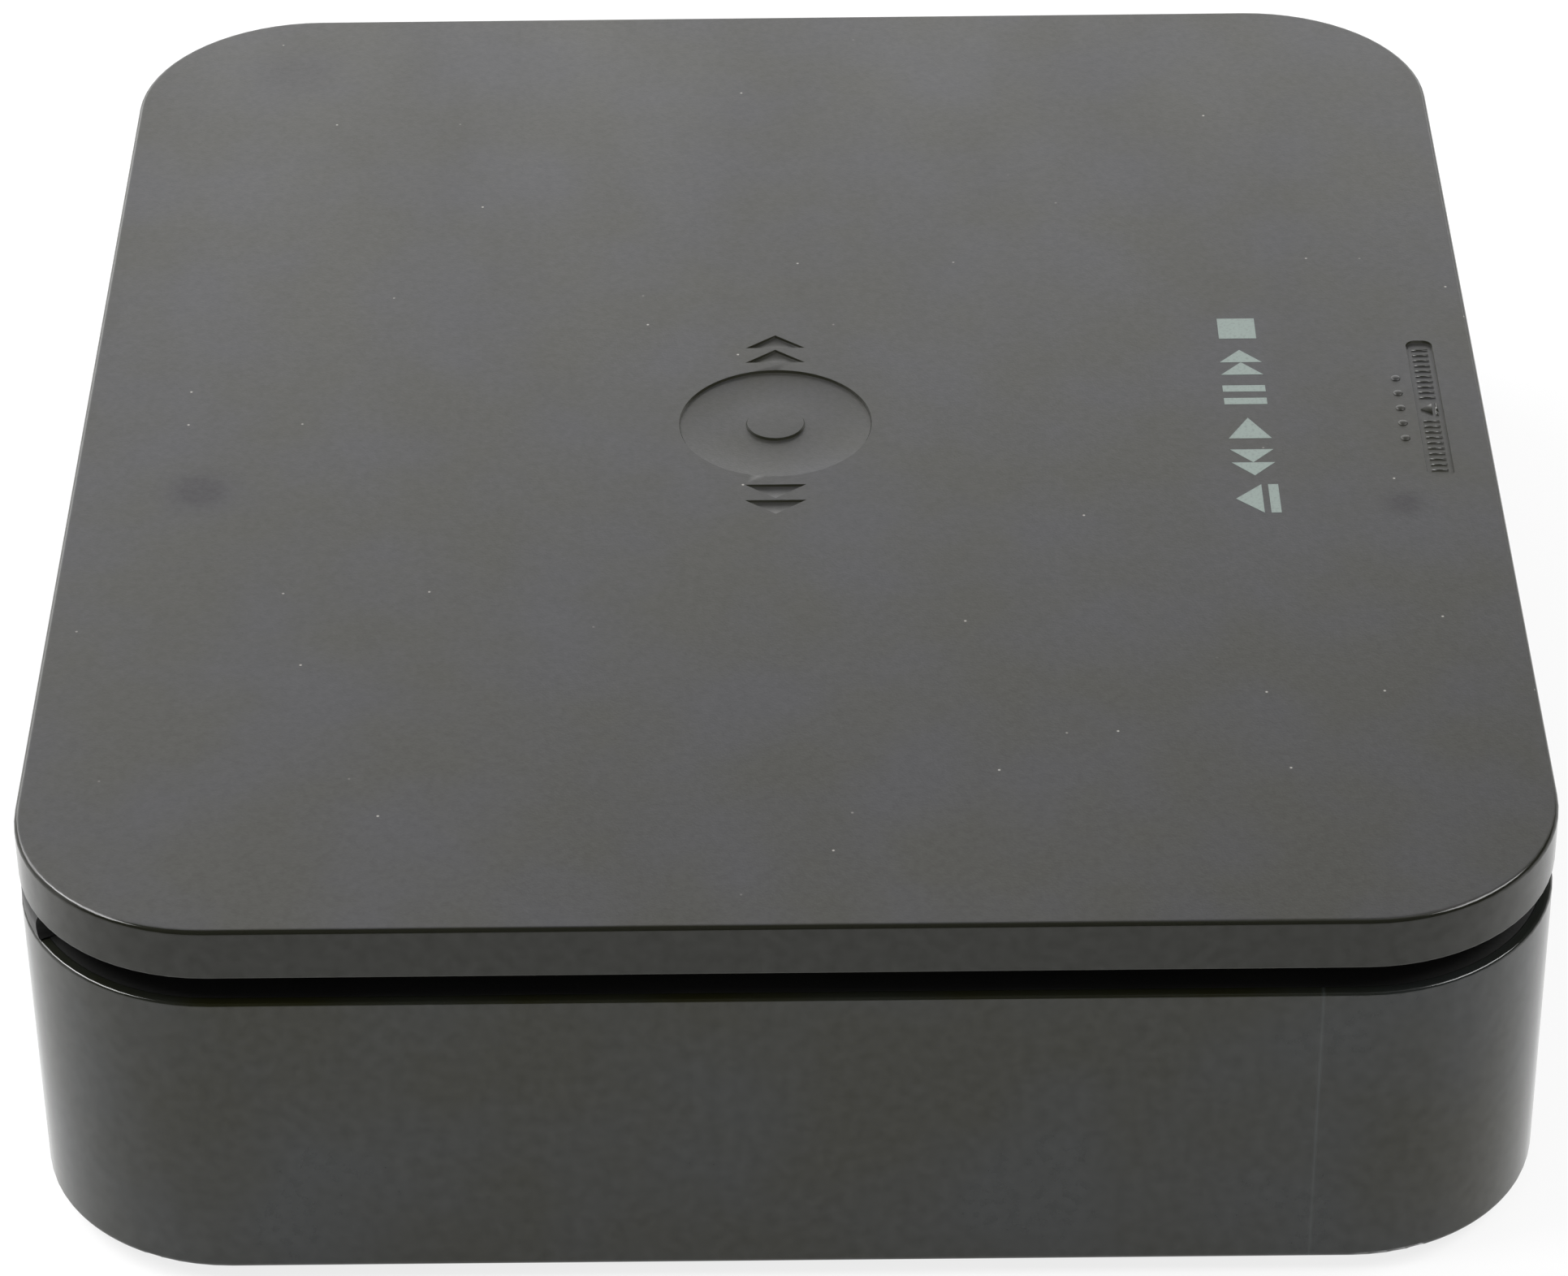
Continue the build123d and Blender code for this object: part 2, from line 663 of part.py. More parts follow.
# Latch housing: an open-topped box screwed under the deck
housing_width = 16.0
housing_depth = 10.0
housing_wall = 1.2
housing_floor = 1.5
jaw_pivot_x = 4.0
jaw_pivot_drop = 6.7
jaw_pivot_z = striker_head_top_z - jaw_pivot_drop
pivot_rise = 1.0
slider_floor_z = jaw_pivot_z - pivot_rise
slider_floor = 2.0
slider_z = slider_floor_z - slider_floor
latch_spring_room = 5.0
housing_z = slider_z - latch_spring_room - housing_floor

with BuildPart() as latch_housing:
    block(0, latch_y, housing_z, housing_width, housing_depth, plateau_under_z - housing_z)
    block(0, latch_y, housing_z + housing_floor, housing_width - 2 * housing_wall,
          housing_depth - 2 * housing_wall, shell_height, mode=Mode.SUBTRACT)
    for side in (-1, 1):
        flange_width = housing_screw_x + housing_boss_radius - housing_width / 2
        block(side * (housing_width + flange_width) / 2, latch_y, housing_flange_z,
              flange_width, housing_depth, housing_flange)
        column(side * housing_screw_x, latch_y, housing_flange_z, small_shank_radius + slip_gap,
               housing_flange, mode=Mode.SUBTRACT)
latch_housing.part.label = "latch_housing"
export_step(latch_housing.part, "parts/latch_housing.step")

# Latch slider: the carriage that rides up and down in the housing and carries both jaws
slider_width = housing_width - 2 * housing_wall - 2 * slip_gap
slider_depth = housing_depth - 2 * housing_wall - 2 * slip_gap
cheek = 1.2
cheek_height = 4.4
jaw_pin_radius = 0.7
jaw_depth = slider_depth - 2 * cheek - 2 * slip_gap

with BuildPart() as latch_slider:
    block(0, latch_y, slider_z, slider_width, slider_depth, slider_floor)
    for side in (-1, 1):
        block(0, latch_y + side * (slider_depth - cheek) / 2, slider_floor_z, slider_width, cheek, cheek_height)
    for side in (-1, 1):
        rod_along(facing_front(side * jaw_pivot_x, latch_y + slider_depth / 2, jaw_pivot_z + cheek_height / 2),
                  jaw_pin_radius, slider_depth)
latch_slider.part.label = "latch_slider"
export_step(latch_slider.part, "parts/latch_slider.step")

# Latch jaws: two hooked arms that close over the striker's head
jaw_arm = 1.3
jaw_hook_edge = 1.6
jaw_hook_height = 1.8
jaw_heel_radius = 1.35
jaw_z = jaw_pivot_z + cheek_height / 2
jaw_hook_z = striker_head_top_z + slip_gap

for side, name in ((-1, "latch_jaw_left"), (1, "latch_jaw_right")):
    with BuildPart() as latch_jaw:
        with BuildSketch(facing_front(0, latch_y + jaw_depth / 2, 0)):
            with Locations((side * jaw_pivot_x, jaw_z)):
                Circle(jaw_heel_radius)
            with BuildLine():
                Polyline(
                    (side * (jaw_pivot_x - jaw_arm / 2), jaw_z),
                    (side * (jaw_pivot_x - jaw_arm / 2), jaw_hook_z),
                    (side * jaw_hook_edge, jaw_hook_z),
                    (side * jaw_hook_edge, jaw_hook_z + jaw_hook_height / 3),
                    (side * (jaw_pivot_x - jaw_arm / 2), jaw_hook_z + jaw_hook_height),
                    (side * (jaw_pivot_x + jaw_arm / 2), jaw_hook_z + jaw_hook_height),
                    (side * (jaw_pivot_x + jaw_arm / 2), jaw_z),
                    close=True,
                )
            make_face()
            with Locations((side * jaw_pivot_x, jaw_z)):
                Circle(jaw_pin_radius + shaft_gap, mode=Mode.SUBTRACT)
        extrude(amount=jaw_depth)
    latch_jaw.part.label = name
    export_step(latch_jaw.part, f"parts/{name}.step")

# Latch spring: pushes the slider up from the housing's floor
latch_wire_radius = 0.25
latch_coil_radius = 2.4
latch_turns = 4
latch_spring_z = housing_z + housing_floor
latch_coil_length = latch_spring_room - 2 * latch_wire_radius
latch_pitch = latch_coil_length / latch_turns

with BuildPart() as latch_spring:
    with BuildLine(mode=Mode.PRIVATE) as latch_line:
        Helix(latch_pitch, latch_coil_length, latch_coil_radius,
              center=(0, latch_y, latch_spring_z + latch_wire_radius))
    latch_edge = latch_line.edges()[0]
    with BuildSketch(Plane(origin=latch_edge @ 0, z_dir=latch_edge % 0)):
        Circle(latch_wire_radius)
    sweep(path=latch_edge, is_frenet=True)
print("latch spring gap", latch_pitch - 2 * latch_wire_radius)
latch_spring.part.label = "latch_spring"
export_step(latch_spring.part, "parts/latch_spring.step")

# Small screws of the latch housing and the main board
with BuildPart() as inner_screws:
    for x in (-housing_screw_x, housing_screw_x):
        small_screw(x, latch_y, housing_flange_z, small_screw_length)
    for x, y in board_posts_at:
        column(x, y, board_top_z, small_head_radius, small_head_height)
        column(x, y, floor_z + board_lift / 3, small_shank_radius, board_top_z - floor_z - board_lift / 3)
        for angle in (0, 90):
            with Locations(Location((x, y, board_top_z + small_head_height), (0, 0, angle))):
                Box(2 * recess_share * small_head_radius, recess_share * small_head_radius / 2,
                    recess_depth_share * small_head_height, align=DOWN, mode=Mode.SUBTRACT)
inner_screws.part.label = "inner_screws"
export_step(inner_screws.part, "parts/inner_screws.step")

# Lid switch: its body hangs on the deck's bracket, and the lid's post holds its lever down
terminal_width = 0.5
terminal_depth = 2.0
terminal_length = 3.0
lever_pivot_inset = 1.0
lever_pin_radius = 0.5
lever_pivot_y = switch_y + switch_length / 2 - lever_pivot_inset
lever_length = 10.0
lever_width = 4.0

with BuildPart() as lid_switch_body:
    block(switch_x, switch_y, switch_top_z - switch_height, switch_width, switch_length, switch_height)
    for step in (-1, 0, 1):
        block(switch_x, switch_y + step * switch_length / 3, switch_top_z - switch_height - terminal_length,
              terminal_width, terminal_depth, terminal_length)
    for side in (-1, 1):
        block(switch_x + side * (lever_width / 2 + slip_gap + terminal_width / 2), lever_pivot_y, switch_top_z,
              terminal_width, 2 * lever_pivot_inset, lever_lift + lever_thickness + lever_pin_radius)
lid_switch_body.part.label = "lid_switch_body"
export_step(lid_switch_body.part, "parts/lid_switch_body.step")

with BuildPart() as lid_switch_lever:
    block(switch_x, lever_pivot_y - lever_length / 2, switch_top_z + lever_lift, lever_width, lever_length,
          lever_thickness)
    rod_along(facing_x(switch_x - lever_width / 2, lever_pivot_y, lever_top_z - lever_thickness / 2),
              lever_pin_radius, lever_width)
lid_switch_lever.part.label = "lid_switch_lever"
export_step(lid_switch_lever.part, "parts/lid_switch_lever.step")

# Drive chassis: a pressed steel frame that carries the motors, the rods and the gears
chassis_round = 6.0
window_left = 14.0
window_margin = 10.0
window_right = chassis_right - window_margin
window_half = 28.5
damper_neck_radius = 3.4
holder_length = 5.0
holder_width = 7.0
holder_left = 9.5
holder_margin = 6.5
holder_right = chassis_right - holder_margin
gear_module = 0.4
large_teeth = 48
large_pitch_radius = large_teeth * gear_module / 2
rack_module = 0.5
small_teeth = 18
small_pitch_radius = small_teeth * rack_module / 2
motor_teeth = 14
motor_pitch_radius = motor_teeth * gear_module / 2
gear_lead = 22.0
rack_reach = 3.8
arm_reach = 6.0
arm_y = -rod_y - arm_reach
gear_x = lens_radius + gear_lead
gear_y = arm_y - rack_reach - small_pitch_radius
gear_pin_radius = 1.0
gear_pin_height = 6.4
pinion_angle = radians(-20)
gear_centres = large_pitch_radius + motor_pitch_radius
pinion_x = gear_x + gear_centres * cos(pinion_angle)
pinion_y = gear_y + gear_centres * sin(pinion_angle)
motor_shaft_radius = 0.75
spindle_shaft_radius = 1.5
shaft_hole_radius = 3.0

with BuildPart() as mech_chassis:
    with BuildSketch(Plane.XY.offset(chassis_z)):
        with Locations(((chassis_left + chassis_right) / 2, (chassis_front + chassis_rear) / 2)):
            RectangleRounded(chassis_right - chassis_left, chassis_rear - chassis_front, chassis_round)
        with Locations(((window_left + window_right) / 2, 0)):
            Rectangle(window_right - window_left, 2 * window_half, mode=Mode.SUBTRACT)
        with Locations(*hangers_at):
            Circle(damper_neck_radius + seam_gap, mode=Mode.SUBTRACT)
        Circle(shaft_hole_radius, mode=Mode.SUBTRACT)
        with Locations((pinion_x, pinion_y)):
            Circle(2 * motor_shaft_radius, mode=Mode.SUBTRACT)
    extrude(amount=chassis_thickness)
    for side in (-1, 1):
        for x in (holder_left, holder_right):
            block(x, side * rod_y, chassis_z, holder_length, holder_width,
                  rod_z + rod_radius + holder_length / 3 - chassis_z)
        rod_along(facing_x(holder_left - holder_length, side * rod_y, rod_z), rod_radius + thread_gap,
                  holder_right - holder_left + 2 * holder_length, mode=Mode.SUBTRACT)
    column(gear_x, gear_y, chassis_z, gear_pin_radius, chassis_thickness + gear_pin_height)
mech_chassis.part.label = "mech_chassis"
export_step(mech_chassis.part, "parts/mech_chassis.step")

# Rubber dampers: grommets in the chassis corners, around the shoulders of its screws
damper_radius = 5.0
shoulder_radius = 2.0
damper_bottom_z = chassis_z - damper_reach

with BuildPart() as dampers:
    with Locations(*[(x, y, damper_bottom_z) for x, y in hangers_at]):
        Cylinder(damper_radius, damper_reach, align=UP)
    with Locations(*[(x, y, chassis_z) for x, y in hangers_at]):
        Cylinder(damper_neck_radius, chassis_thickness, align=UP)
    with Locations(*[(x, y, chassis_top_z) for x, y in hangers_at]):
        Cylinder(damper_radius, damper_reach, align=UP)
    with Locations(*[(x, y, damper_bottom_z) for x, y in hangers_at]):
        Cylinder(shoulder_radius + thread_gap, 2 * damper_reach + chassis_thickness, align=UP,
                 mode=Mode.SUBTRACT)
dampers.part.label = "dampers"
export_step(dampers.part, "parts/dampers.step")

# Shoulder screws that hang the chassis from the deck
shoulder_head_radius = 3.5
shoulder_head_height = 1.6

with BuildPart() as chassis_screws:
    for x, y in hangers_at:
        column(x, y, damper_bottom_z - shoulder_head_height, shoulder_head_radius, shoulder_head_height)
        column(x, y, damper_bottom_z, shoulder_radius, hanger_z - damper_bottom_z)
        column(x, y, hanger_z, hanger_bore_radius, hanger_bore_depth * recess_depth_share)
        for angle in (0, 90):
            with Locations(Location((x, y, damper_bottom_z - shoulder_head_height), (0, 0, angle))):
                Box(2 * recess_share * shoulder_head_radius, recess_share * shoulder_head_radius / 2,
                    recess_depth_share * shoulder_head_height, align=UP, mode=Mode.SUBTRACT)
chassis_screws.part.label = "chassis_screws"
export_step(chassis_screws.part, "parts/chassis_screws.step")

# Guide rods for the pickup sled
with BuildPart() as guide_rods:
    for side in (-1, 1):
        rod_along(facing_x(holder_left - holder_length / 2, side * rod_y, rod_z), rod_radius,
                  holder_right - holder_left + holder_length)
guide_rods.part.label = "guide_rods"
export_step(guide_rods.part, "parts/guide_rods.step")

# Spindle motor: the fixed base with its bearing, then the turning bell and shaft
motor_radius = 12.0
rotor_radius = 11.8
rotor_neck_radius = 5.0
motor_bearing_radius = 3.0
bell_round = 0.8

with BuildPart() as spindle_motor:
    column(0, 0, chassis_top_z, motor_radius, motor_height)
    column(0, 0, chassis_z, motor_bearing_radius - seam_gap, chassis_thickness)
    column(0, 0, chassis_z + chassis_thickness / 2, spindle_shaft_radius + shaft_gap,
           motor_height + chassis_thickness, mode=Mode.SUBTRACT)
spindle_motor.part.label = "spindle_motor"
export_step(spindle_motor.part, "parts/spindle_motor.step")

hub_radius = disc_bore_radius - seam_gap
hub_height = 2.8
cap_height = 1.1
hub_top_z = disc_seat_z - mat_thickness + hub_height

with BuildPart() as spindle_rotor:
    column(0, 0, rotor_z, rotor_radius, rotor_height)
    fillet(spindle_rotor.faces().sort_by(Axis.Z)[-1].edges(), radius=bell_round)
    column(0, 0, rotor_z + rotor_height, rotor_neck_radius, rotor_neck)
    column(0, 0, chassis_top_z, spindle_shaft_radius, hub_top_z - chassis_top_z)
spindle_rotor.part.label = "spindle_rotor"
export_step(spindle_rotor.part, "parts/spindle_rotor.step")

# Turntable: the plate and hub that carry the disc, slotted for three sprung claws
turntable_radius = 14.0
claw_count = 3
claw_width = 2.6
claw_inner = 4.2
claw_travel = 0.6
claw_slot_inner = claw_inner - claw_travel - slip_gap
claw_seat_share = 0.8
claw_z = disc_seat_z + claw_seat_share * disc_thickness
claw_nose = 0.4
claw_nose_rise = 0.35
claw_slot_length = turntable_radius - claw_slot_inner

with BuildPart() as turntable:
    column(0, 0, turntable_z, turntable_radius, turntable_thickness)
    fillet(turntable.faces().sort_by(Axis.Z)[0].edges(), radius=rim_edge_round)
    column(0, 0, turntable_z + turntable_thickness, hub_radius, hub_height)
    column(0, 0, turntable_z, spindle_shaft_radius + thread_gap, turntable_thickness + hub_height,
           mode=Mode.SUBTRACT)
    with PolarLocations(claw_slot_inner + claw_slot_length / 2, claw_count):
        with Locations((0, 0, claw_z - slip_gap)):
            Box(claw_slot_length, claw_width + 2 * slip_gap, overrun, align=UP, mode=Mode.SUBTRACT)
turntable.part.label = "turntable"
export_step(turntable.part, "parts/turntable.step")

# Rubber mat on the turntable
mat_inner_radius = 10.5

with BuildPart() as turntable_mat:
    column(0, 0, turntable_z + turntable_thickness, turntable_radius - seam_gap, mat_thickness)
    column(0, 0, turntable_z + turntable_thickness, mat_inner_radius, mat_thickness, mode=Mode.SUBTRACT)
turntable_mat.part.label = "turntable_mat"
export_step(turntable_mat.part, "parts/turntable_mat.step")

# Hub cap, which closes the claws in
cap_round = 0.7

with BuildPart() as hub_cap:
    column(0, 0, hub_top_z, hub_radius, cap_height)
    fillet(hub_cap.faces().sort_by(Axis.Z)[-1].edges(), radius=cap_round)
hub_cap.part.label = "hub_cap"
export_step(hub_cap.part, "parts/hub_cap.step")

# Hub claws: sprung catches that hold the disc down by the edge of its bore
claw_nose_z = disc_seat_z + disc_thickness + seam_gap
claw_top_z = hub_top_z - seam_gap

for step in range(claw_count):
    turn = 360 * step / claw_count
    claw_plane = Plane(origin=(0, 0, 0), x_dir=(cos(radians(turn)), sin(radians(turn)), 0),
                       z_dir=(sin(radians(turn)), -cos(radians(turn)), 0))
    with BuildPart() as hub_claw:
        with BuildSketch(claw_plane.offset(-claw_width / 2)):
            with BuildLine():
                Polyline(
                    (claw_inner, claw_z),
                    (hub_radius, claw_z),
                    (hub_radius, claw_nose_z),
                    (hub_radius + claw_nose, claw_nose_z + claw_nose_rise),
                    (hub_radius, claw_top_z),
                    (claw_inner, claw_top_z),
                    close=True,
                )
            make_face()
        extrude(amount=claw_width)
    claw_name = f"hub_claw_{step + 1}"
    hub_claw.part.label = claw_name
    export_step(hub_claw.part, f"parts/{claw_name}.step")

# Feed motor, under the chassis
feed_can_radius = 7.5

with BuildPart() as feed_motor:
    column(pinion_x, pinion_y, chassis_z - feed_can_height, feed_can_radius, feed_can_height)
    fillet(feed_motor.faces().sort_by(Axis.Z)[0].edges(), radius=bell_round)
    column(pinion_x, pinion_y, chassis_z - feed_can_height / 2, motor_shaft_radius + shaft_gap,
           feed_can_height, mode=Mode.SUBTRACT)
feed_motor.part.label = "feed_motor"
export_step(feed_motor.part, "parts/feed_motor.step")

# Gears: involute teeth at 20 degrees, thinned a little so that they run with play
pressure_angle = radians(20)
tooth_play = 0.12
addendum_share = 0.85
dedendum_share = 1.15
flank_steps = 4


def tooth_outline(teeth, module, first_angle):
    """Points around a spur gear, with the middle of one tooth at first_angle."""
    pitch_radius = teeth * module / 2
    base_radius = pitch_radius * cos(pressure_angle)
    tip_radius = pitch_radius + addendum_share * module
    root_radius = pitch_radius - dedendum_share * module
    start_radius = max(base_radius, root_radius)
    half_at_pitch = pi / (2 * teeth) - tooth_play / (2 * pitch_radius)
    involute_at_pitch = tan(pressure_angle) - pressure_angle
    flank_radii = [root_radius] + [
        start_radius + (tip_radius - start_radius) * step / flank_steps for step in range(flank_steps + 1)
    ]
    rise = []
    for radius in flank_radii:
        slope = acos(min(1, base_radius / max(radius, start_radius)))
        rise.append((radius, half_at_pitch + involute_at_pitch - (tan(slope) - slope)))
    points = []
    for tooth in range(teeth):
        middle = first_angle + 2 * pi * tooth / teeth
        for radius, half in rise:
            points.append((radius * cos(middle - half), radius * sin(middle - half)))
        for radius, half in reversed(rise):
            points.append((radius * cos(middle + half), radius * sin(middle + half)))
    return points


large_gear_lift = 0.7
large_gear_height = 1.4
small_gear_height = 3.7
large_gear_z = chassis_top_z + large_gear_lift
small_gear_z = large_gear_z + large_gear_height

with BuildPart() as feed_gear:
    with BuildSketch(Plane.XY.offset(large_gear_z)):
        with Locations((gear_x, gear_y)):
            Polygon(*tooth_outline(large_teeth, gear_module, pinion_angle), align=None)
            Circle(gear_pin_radius + shaft_gap, mode=Mode.SUBTRACT)
    extrude(amount=large_gear_height)
    with BuildSketch(Plane.XY.offset(small_gear_z)):
        with Locations((gear_x, gear_y)):
            Polygon(*tooth_outline(small_teeth, rack_module, pi / 2), align=None)
            Circle(gear_pin_radius + shaft_gap, mode=Mode.SUBTRACT)
    extrude(amount=small_gear_height)
feed_gear.part.label = "feed_gear"
export_step(feed_gear.part, "parts/feed_gear.step")

pinion_height = 2.2

with BuildPart() as feed_pinion:
    with BuildSketch(Plane.XY.offset(large_gear_z - free_gap)):
        with Locations((pinion_x, pinion_y)):
            Polygon(*tooth_outline(motor_teeth, gear_module, pinion_angle + pi + pi / motor_teeth), align=None)
    extrude(amount=pinion_height)
    column(pinion_x, pinion_y, chassis_z - feed_can_height / 3, motor_shaft_radius,
           feed_can_height / 3 + chassis_thickness + large_gear_lift)
feed_pinion.part.label = "feed_pinion"
export_step(feed_pinion.part, "parts/feed_pinion.step")

# Pickup body: the die-cast sled on the two rods
sled_reach_in = 7.5
sled_reach_out = 22.0
sled_start = lens_radius - sled_reach_in
sled_end = lens_radius + sled_reach_out
sled_half = 20.0
sled_lift = 1.0
sled_height = 4.8
sled_z = chassis_top_z + sled_lift
sled_top_z = sled_z + sled_height
bushing_radius = 3.2
bushing_end = 1.0
arm_height = 2.8
arm_z = sled_top_z - arm_height
diode_radius = 2.8
diode_neck_radius = 1.7
diode_length = 4.0
diode_y = 8.0
diode_z = (sled_z + sled_top_z) / 2
cover_reach_in = 7.0
cover_reach_out = 9.0
cover_start = lens_radius - cover_reach_in
cover_end = lens_radius + cover_reach_out
cover_half = 7.8
cover_wall = 0.8
cover_height = 5.4

with BuildPart() as pickup_body:
    block((sled_start + sled_end) / 2, 0, sled_z, sled_end - sled_start, 2 * sled_half, sled_height)
    fillet(pickup_body.edges().filter_by(Axis.Z), radius=bell_round)
    block((cover_start + cover_end) / 2, 0, sled_top_z - sled_height / 3,
          cover_end - cover_start - 2 * cover_wall, 2 * (cover_half - cover_wall), overrun, mode=Mode.SUBTRACT)
    for side in (-1, 1):
        rod_along(facing_x(sled_start + bushing_end, side * rod_y, rod_z), bushing_radius,
                  sled_end - sled_start - 2 * bushing_end)
        block((sled_start + sled_end) / 2, side * (sled_half + rod_y) / 2, rod_z - bushing_radius / 2,
              sled_end - sled_start - 2 * bushing_end, rod_y - sled_half + bushing_end, bushing_radius)
    block((sled_start + sled_end) / 2, (arm_y - rod_y) / 2, arm_z, sled_end - sled_start - 2 * bushing_end,
          -rod_y - arm_y, arm_height)
    for side in (-1, 1):
        rod_along(facing_x(sled_start - overrun, side * rod_y, rod_z), rod_radius + shaft_gap,
                  sled_end - sled_start + 2 * overrun, mode=Mode.SUBTRACT)
    rod_along(facing_x(sled_end - diode_length / 2, diode_y, diode_z), diode_neck_radius + thread_gap, overrun,
              mode=Mode.SUBTRACT)
pickup_body.part.label = "pickup_body"
export_step(pickup_body.part, "parts/pickup_body.step")

# Rack: the toothed strip along the front arm of the sled
rack_margin = 3.0
rack_start = gear_x - sled_travel - rack_margin
rack_end = gear_x + rack_margin
rack_pitch_y = gear_y + small_pitch_radius
rack_tooth_pitch = pi * rack_module
rack_tip_y = rack_pitch_y - addendum_share * rack_module
rack_root_y = rack_pitch_y + dedendum_share * rack_module
rack_half_tooth = rack_tooth_pitch / 4 - tooth_play / 2
rack_tip_half = rack_half_tooth - addendum_share * rack_module * tan(pressure_angle)
rack_root_half = rack_half_tooth + dedendum_share * rack_module * tan(pressure_angle)
rack_first = int((rack_start - gear_x) / rack_tooth_pitch) + 1
rack_last = int((rack_end - gear_x) / rack_tooth_pitch) - 1
rack_points = [(rack_start, arm_y), (rack_start, rack_root_y)]
for step in range(rack_first, rack_last + 1):
    tooth_x = gear_x + (2 * step + 1) * rack_tooth_pitch / 2
    rack_points += [(tooth_x - rack_root_half, rack_root_y), (tooth_x - rack_tip_half, rack_tip_y),
                    (tooth_x + rack_tip_half, rack_tip_y), (tooth_x + rack_root_half, rack_root_y)]
rack_points += [(rack_end, rack_root_y), (rack_end, arm_y)]

with BuildPart() as pickup_rack:
    with BuildSketch(Plane.XY.offset(arm_z)):
        Polygon(*rack_points, align=None)
    extrude(amount=arm_height)
pickup_rack.part.label = "pickup_rack"
export_step(pickup_rack.part, "parts/pickup_rack.step")

# Pickup cover: the plastic frame around the lens actuator
holder_size_x = 7.2
holder_size_y = 11.0
holder_height = 3.0
holder_clear = 0.4
cover_middle = (cover_start + cover_end) / 2

with BuildPart() as pickup_cover:
    block(cover_middle, 0, sled_top_z, cover_end - cover_start, 2 * cover_half, cover_height)
    fillet(pickup_cover.edges().filter_by(Axis.Z), radius=bell_round)
    fillet(pickup_cover.faces().sort_by(Axis.Z)[-1].edges(), radius=rim_edge_round)
    block(cover_middle, 0, sled_top_z, cover_end - cover_start - 2 * cover_wall, 2 * (cover_half - cover_wall),
          cover_height - cover_wall, mode=Mode.SUBTRACT)
    block(lens_radius, 0, sled_top_z, holder_size_x + 2 * holder_clear, holder_size_y + 2 * holder_clear,
          2 * overrun, mode=Mode.SUBTRACT)
pickup_cover.part.label = "pickup_cover"
export_step(pickup_cover.part, "parts/pickup_cover.step")

# Actuator yoke: the steel base in the sled's pocket with a magnet each side of the lens holder
pocket_z = sled_top_z - sled_height / 3
yoke_thickness = 1.2
yoke_length = 13.6
yoke_width = 12.0
yoke_shift = 0.8
magnet_thickness = 1.6
magnet_width = 8.0
magnet_gap = 0.5
magnet_height = 4.6

with BuildPart() as actuator_yoke:
    block(lens_radius + yoke_shift, 0, pocket_z, yoke_length, yoke_width, yoke_thickness)
    for side in (-1, 1):
        block(lens_radius + side * (holder_size_x + magnet_thickness + 2 * magnet_gap) / 2, 0,
              pocket_z + yoke_thickness, magnet_thickness, magnet_width, magnet_height)
actuator_yoke.part.label = "actuator_yoke"
export_step(actuator_yoke.part, "parts/actuator_yoke.step")

# Laser diode, pressed into the outer end of the sled
with BuildPart() as laser_diode:
    rod_along(facing_x(sled_end, diode_y, diode_z), diode_radius, diode_length / 3)
    rod_along(facing_x(sled_end - diode_length / 3, diode_y, diode_z), diode_neck_radius, diode_length)
laser_diode.part.label = "laser_diode"
export_step(laser_diode.part, "parts/laser_diode.step")

# Lens holder: the small moulding that floats in the actuator, and the lens in its top
lens_gap = 1.3
lens_disc_radius = 2.4
lens_crown = 0.6
lens_seat = 0.5
lens_crown_sphere = (lens_disc_radius ** 2 + lens_crown ** 2) / (2 * lens_crown)
lens_top_z = disc_seat_z - lens_gap
holder_top_z = lens_top_z - lens_crown
holder_z = holder_top_z - holder_height

with BuildPart() as lens_holder:
    block(lens_radius, 0, holder_z, holder_size_x, holder_size_y, holder_height)
    fillet(lens_holder.edges().filter_by(Axis.Z), radius=bell_round)
    fillet(lens_holder.faces().sort_by(Axis.Z)[-1].edges(), radius=rim_edge_round / 2)
    column(lens_radius, 0, holder_z, lens_disc_radius - lens_seat, holder_height, mode=Mode.SUBTRACT)
    column(lens_radius, 0, holder_top_z - lens_seat, lens_disc_radius + thread_gap, overrun, mode=Mode.SUBTRACT)
lens_holder.part.label = "lens_holder"
export_step(lens_holder.part, "parts/lens_holder.step")

with BuildPart() as objective_lens:
    with BuildSketch(Plane.XZ):
        with BuildLine():
            RadiusArc((0, lens_top_z), (lens_disc_radius, holder_top_z), lens_crown_sphere)
            Polyline((lens_disc_radius, holder_top_z), (lens_disc_radius, holder_top_z - lens_seat),
                     (0, holder_top_z - lens_seat), (0, lens_top_z))
        make_face()
    revolve(axis=Axis.Z)
objective_lens.part.locate(Location((lens_radius, 0, 0)))
objective_lens.part.label = "objective_lens"
export_step(objective_lens.part, "parts/objective_lens.step")

# Pickup ribbon: the flat cable from the main board up to the sled, in an easy bend
ribbon_width = 12.0
ribbon_thickness = 0.3
ribbon_y = 14.0
ribbon_inset = 6.0
ribbon_reach = 12.0
ribbon_sled_x = sled_end - ribbon_inset
ribbon_board_x = sled_end + ribbon_reach
ribbon_plug_height = 3.0
ribbon_plug_depth = 4.0
ribbon_bend = 2.5
ribbon_start_z = board_top_z + ribbon_plug_height
ribbon_middle_z = (ribbon_start_z + sled_z) / 2

with BuildPart() as pickup_ribbon:
    with BuildSketch(facing_front(0, ribbon_y + ribbon_width / 2, 0)):
        with BuildLine():
            FilletPolyline(
                (ribbon_board_x, ribbon_start_z),
                (ribbon_board_x, ribbon_middle_z),
                (ribbon_sled_x, ribbon_middle_z),
                (ribbon_sled_x, sled_z),
                radius=ribbon_bend,
            )
        trace(line_width=ribbon_thickness)
    extrude(amount=ribbon_width)
pickup_ribbon.part.label = "pickup_ribbon"
export_step(pickup_ribbon.part, "parts/pickup_ribbon.step")

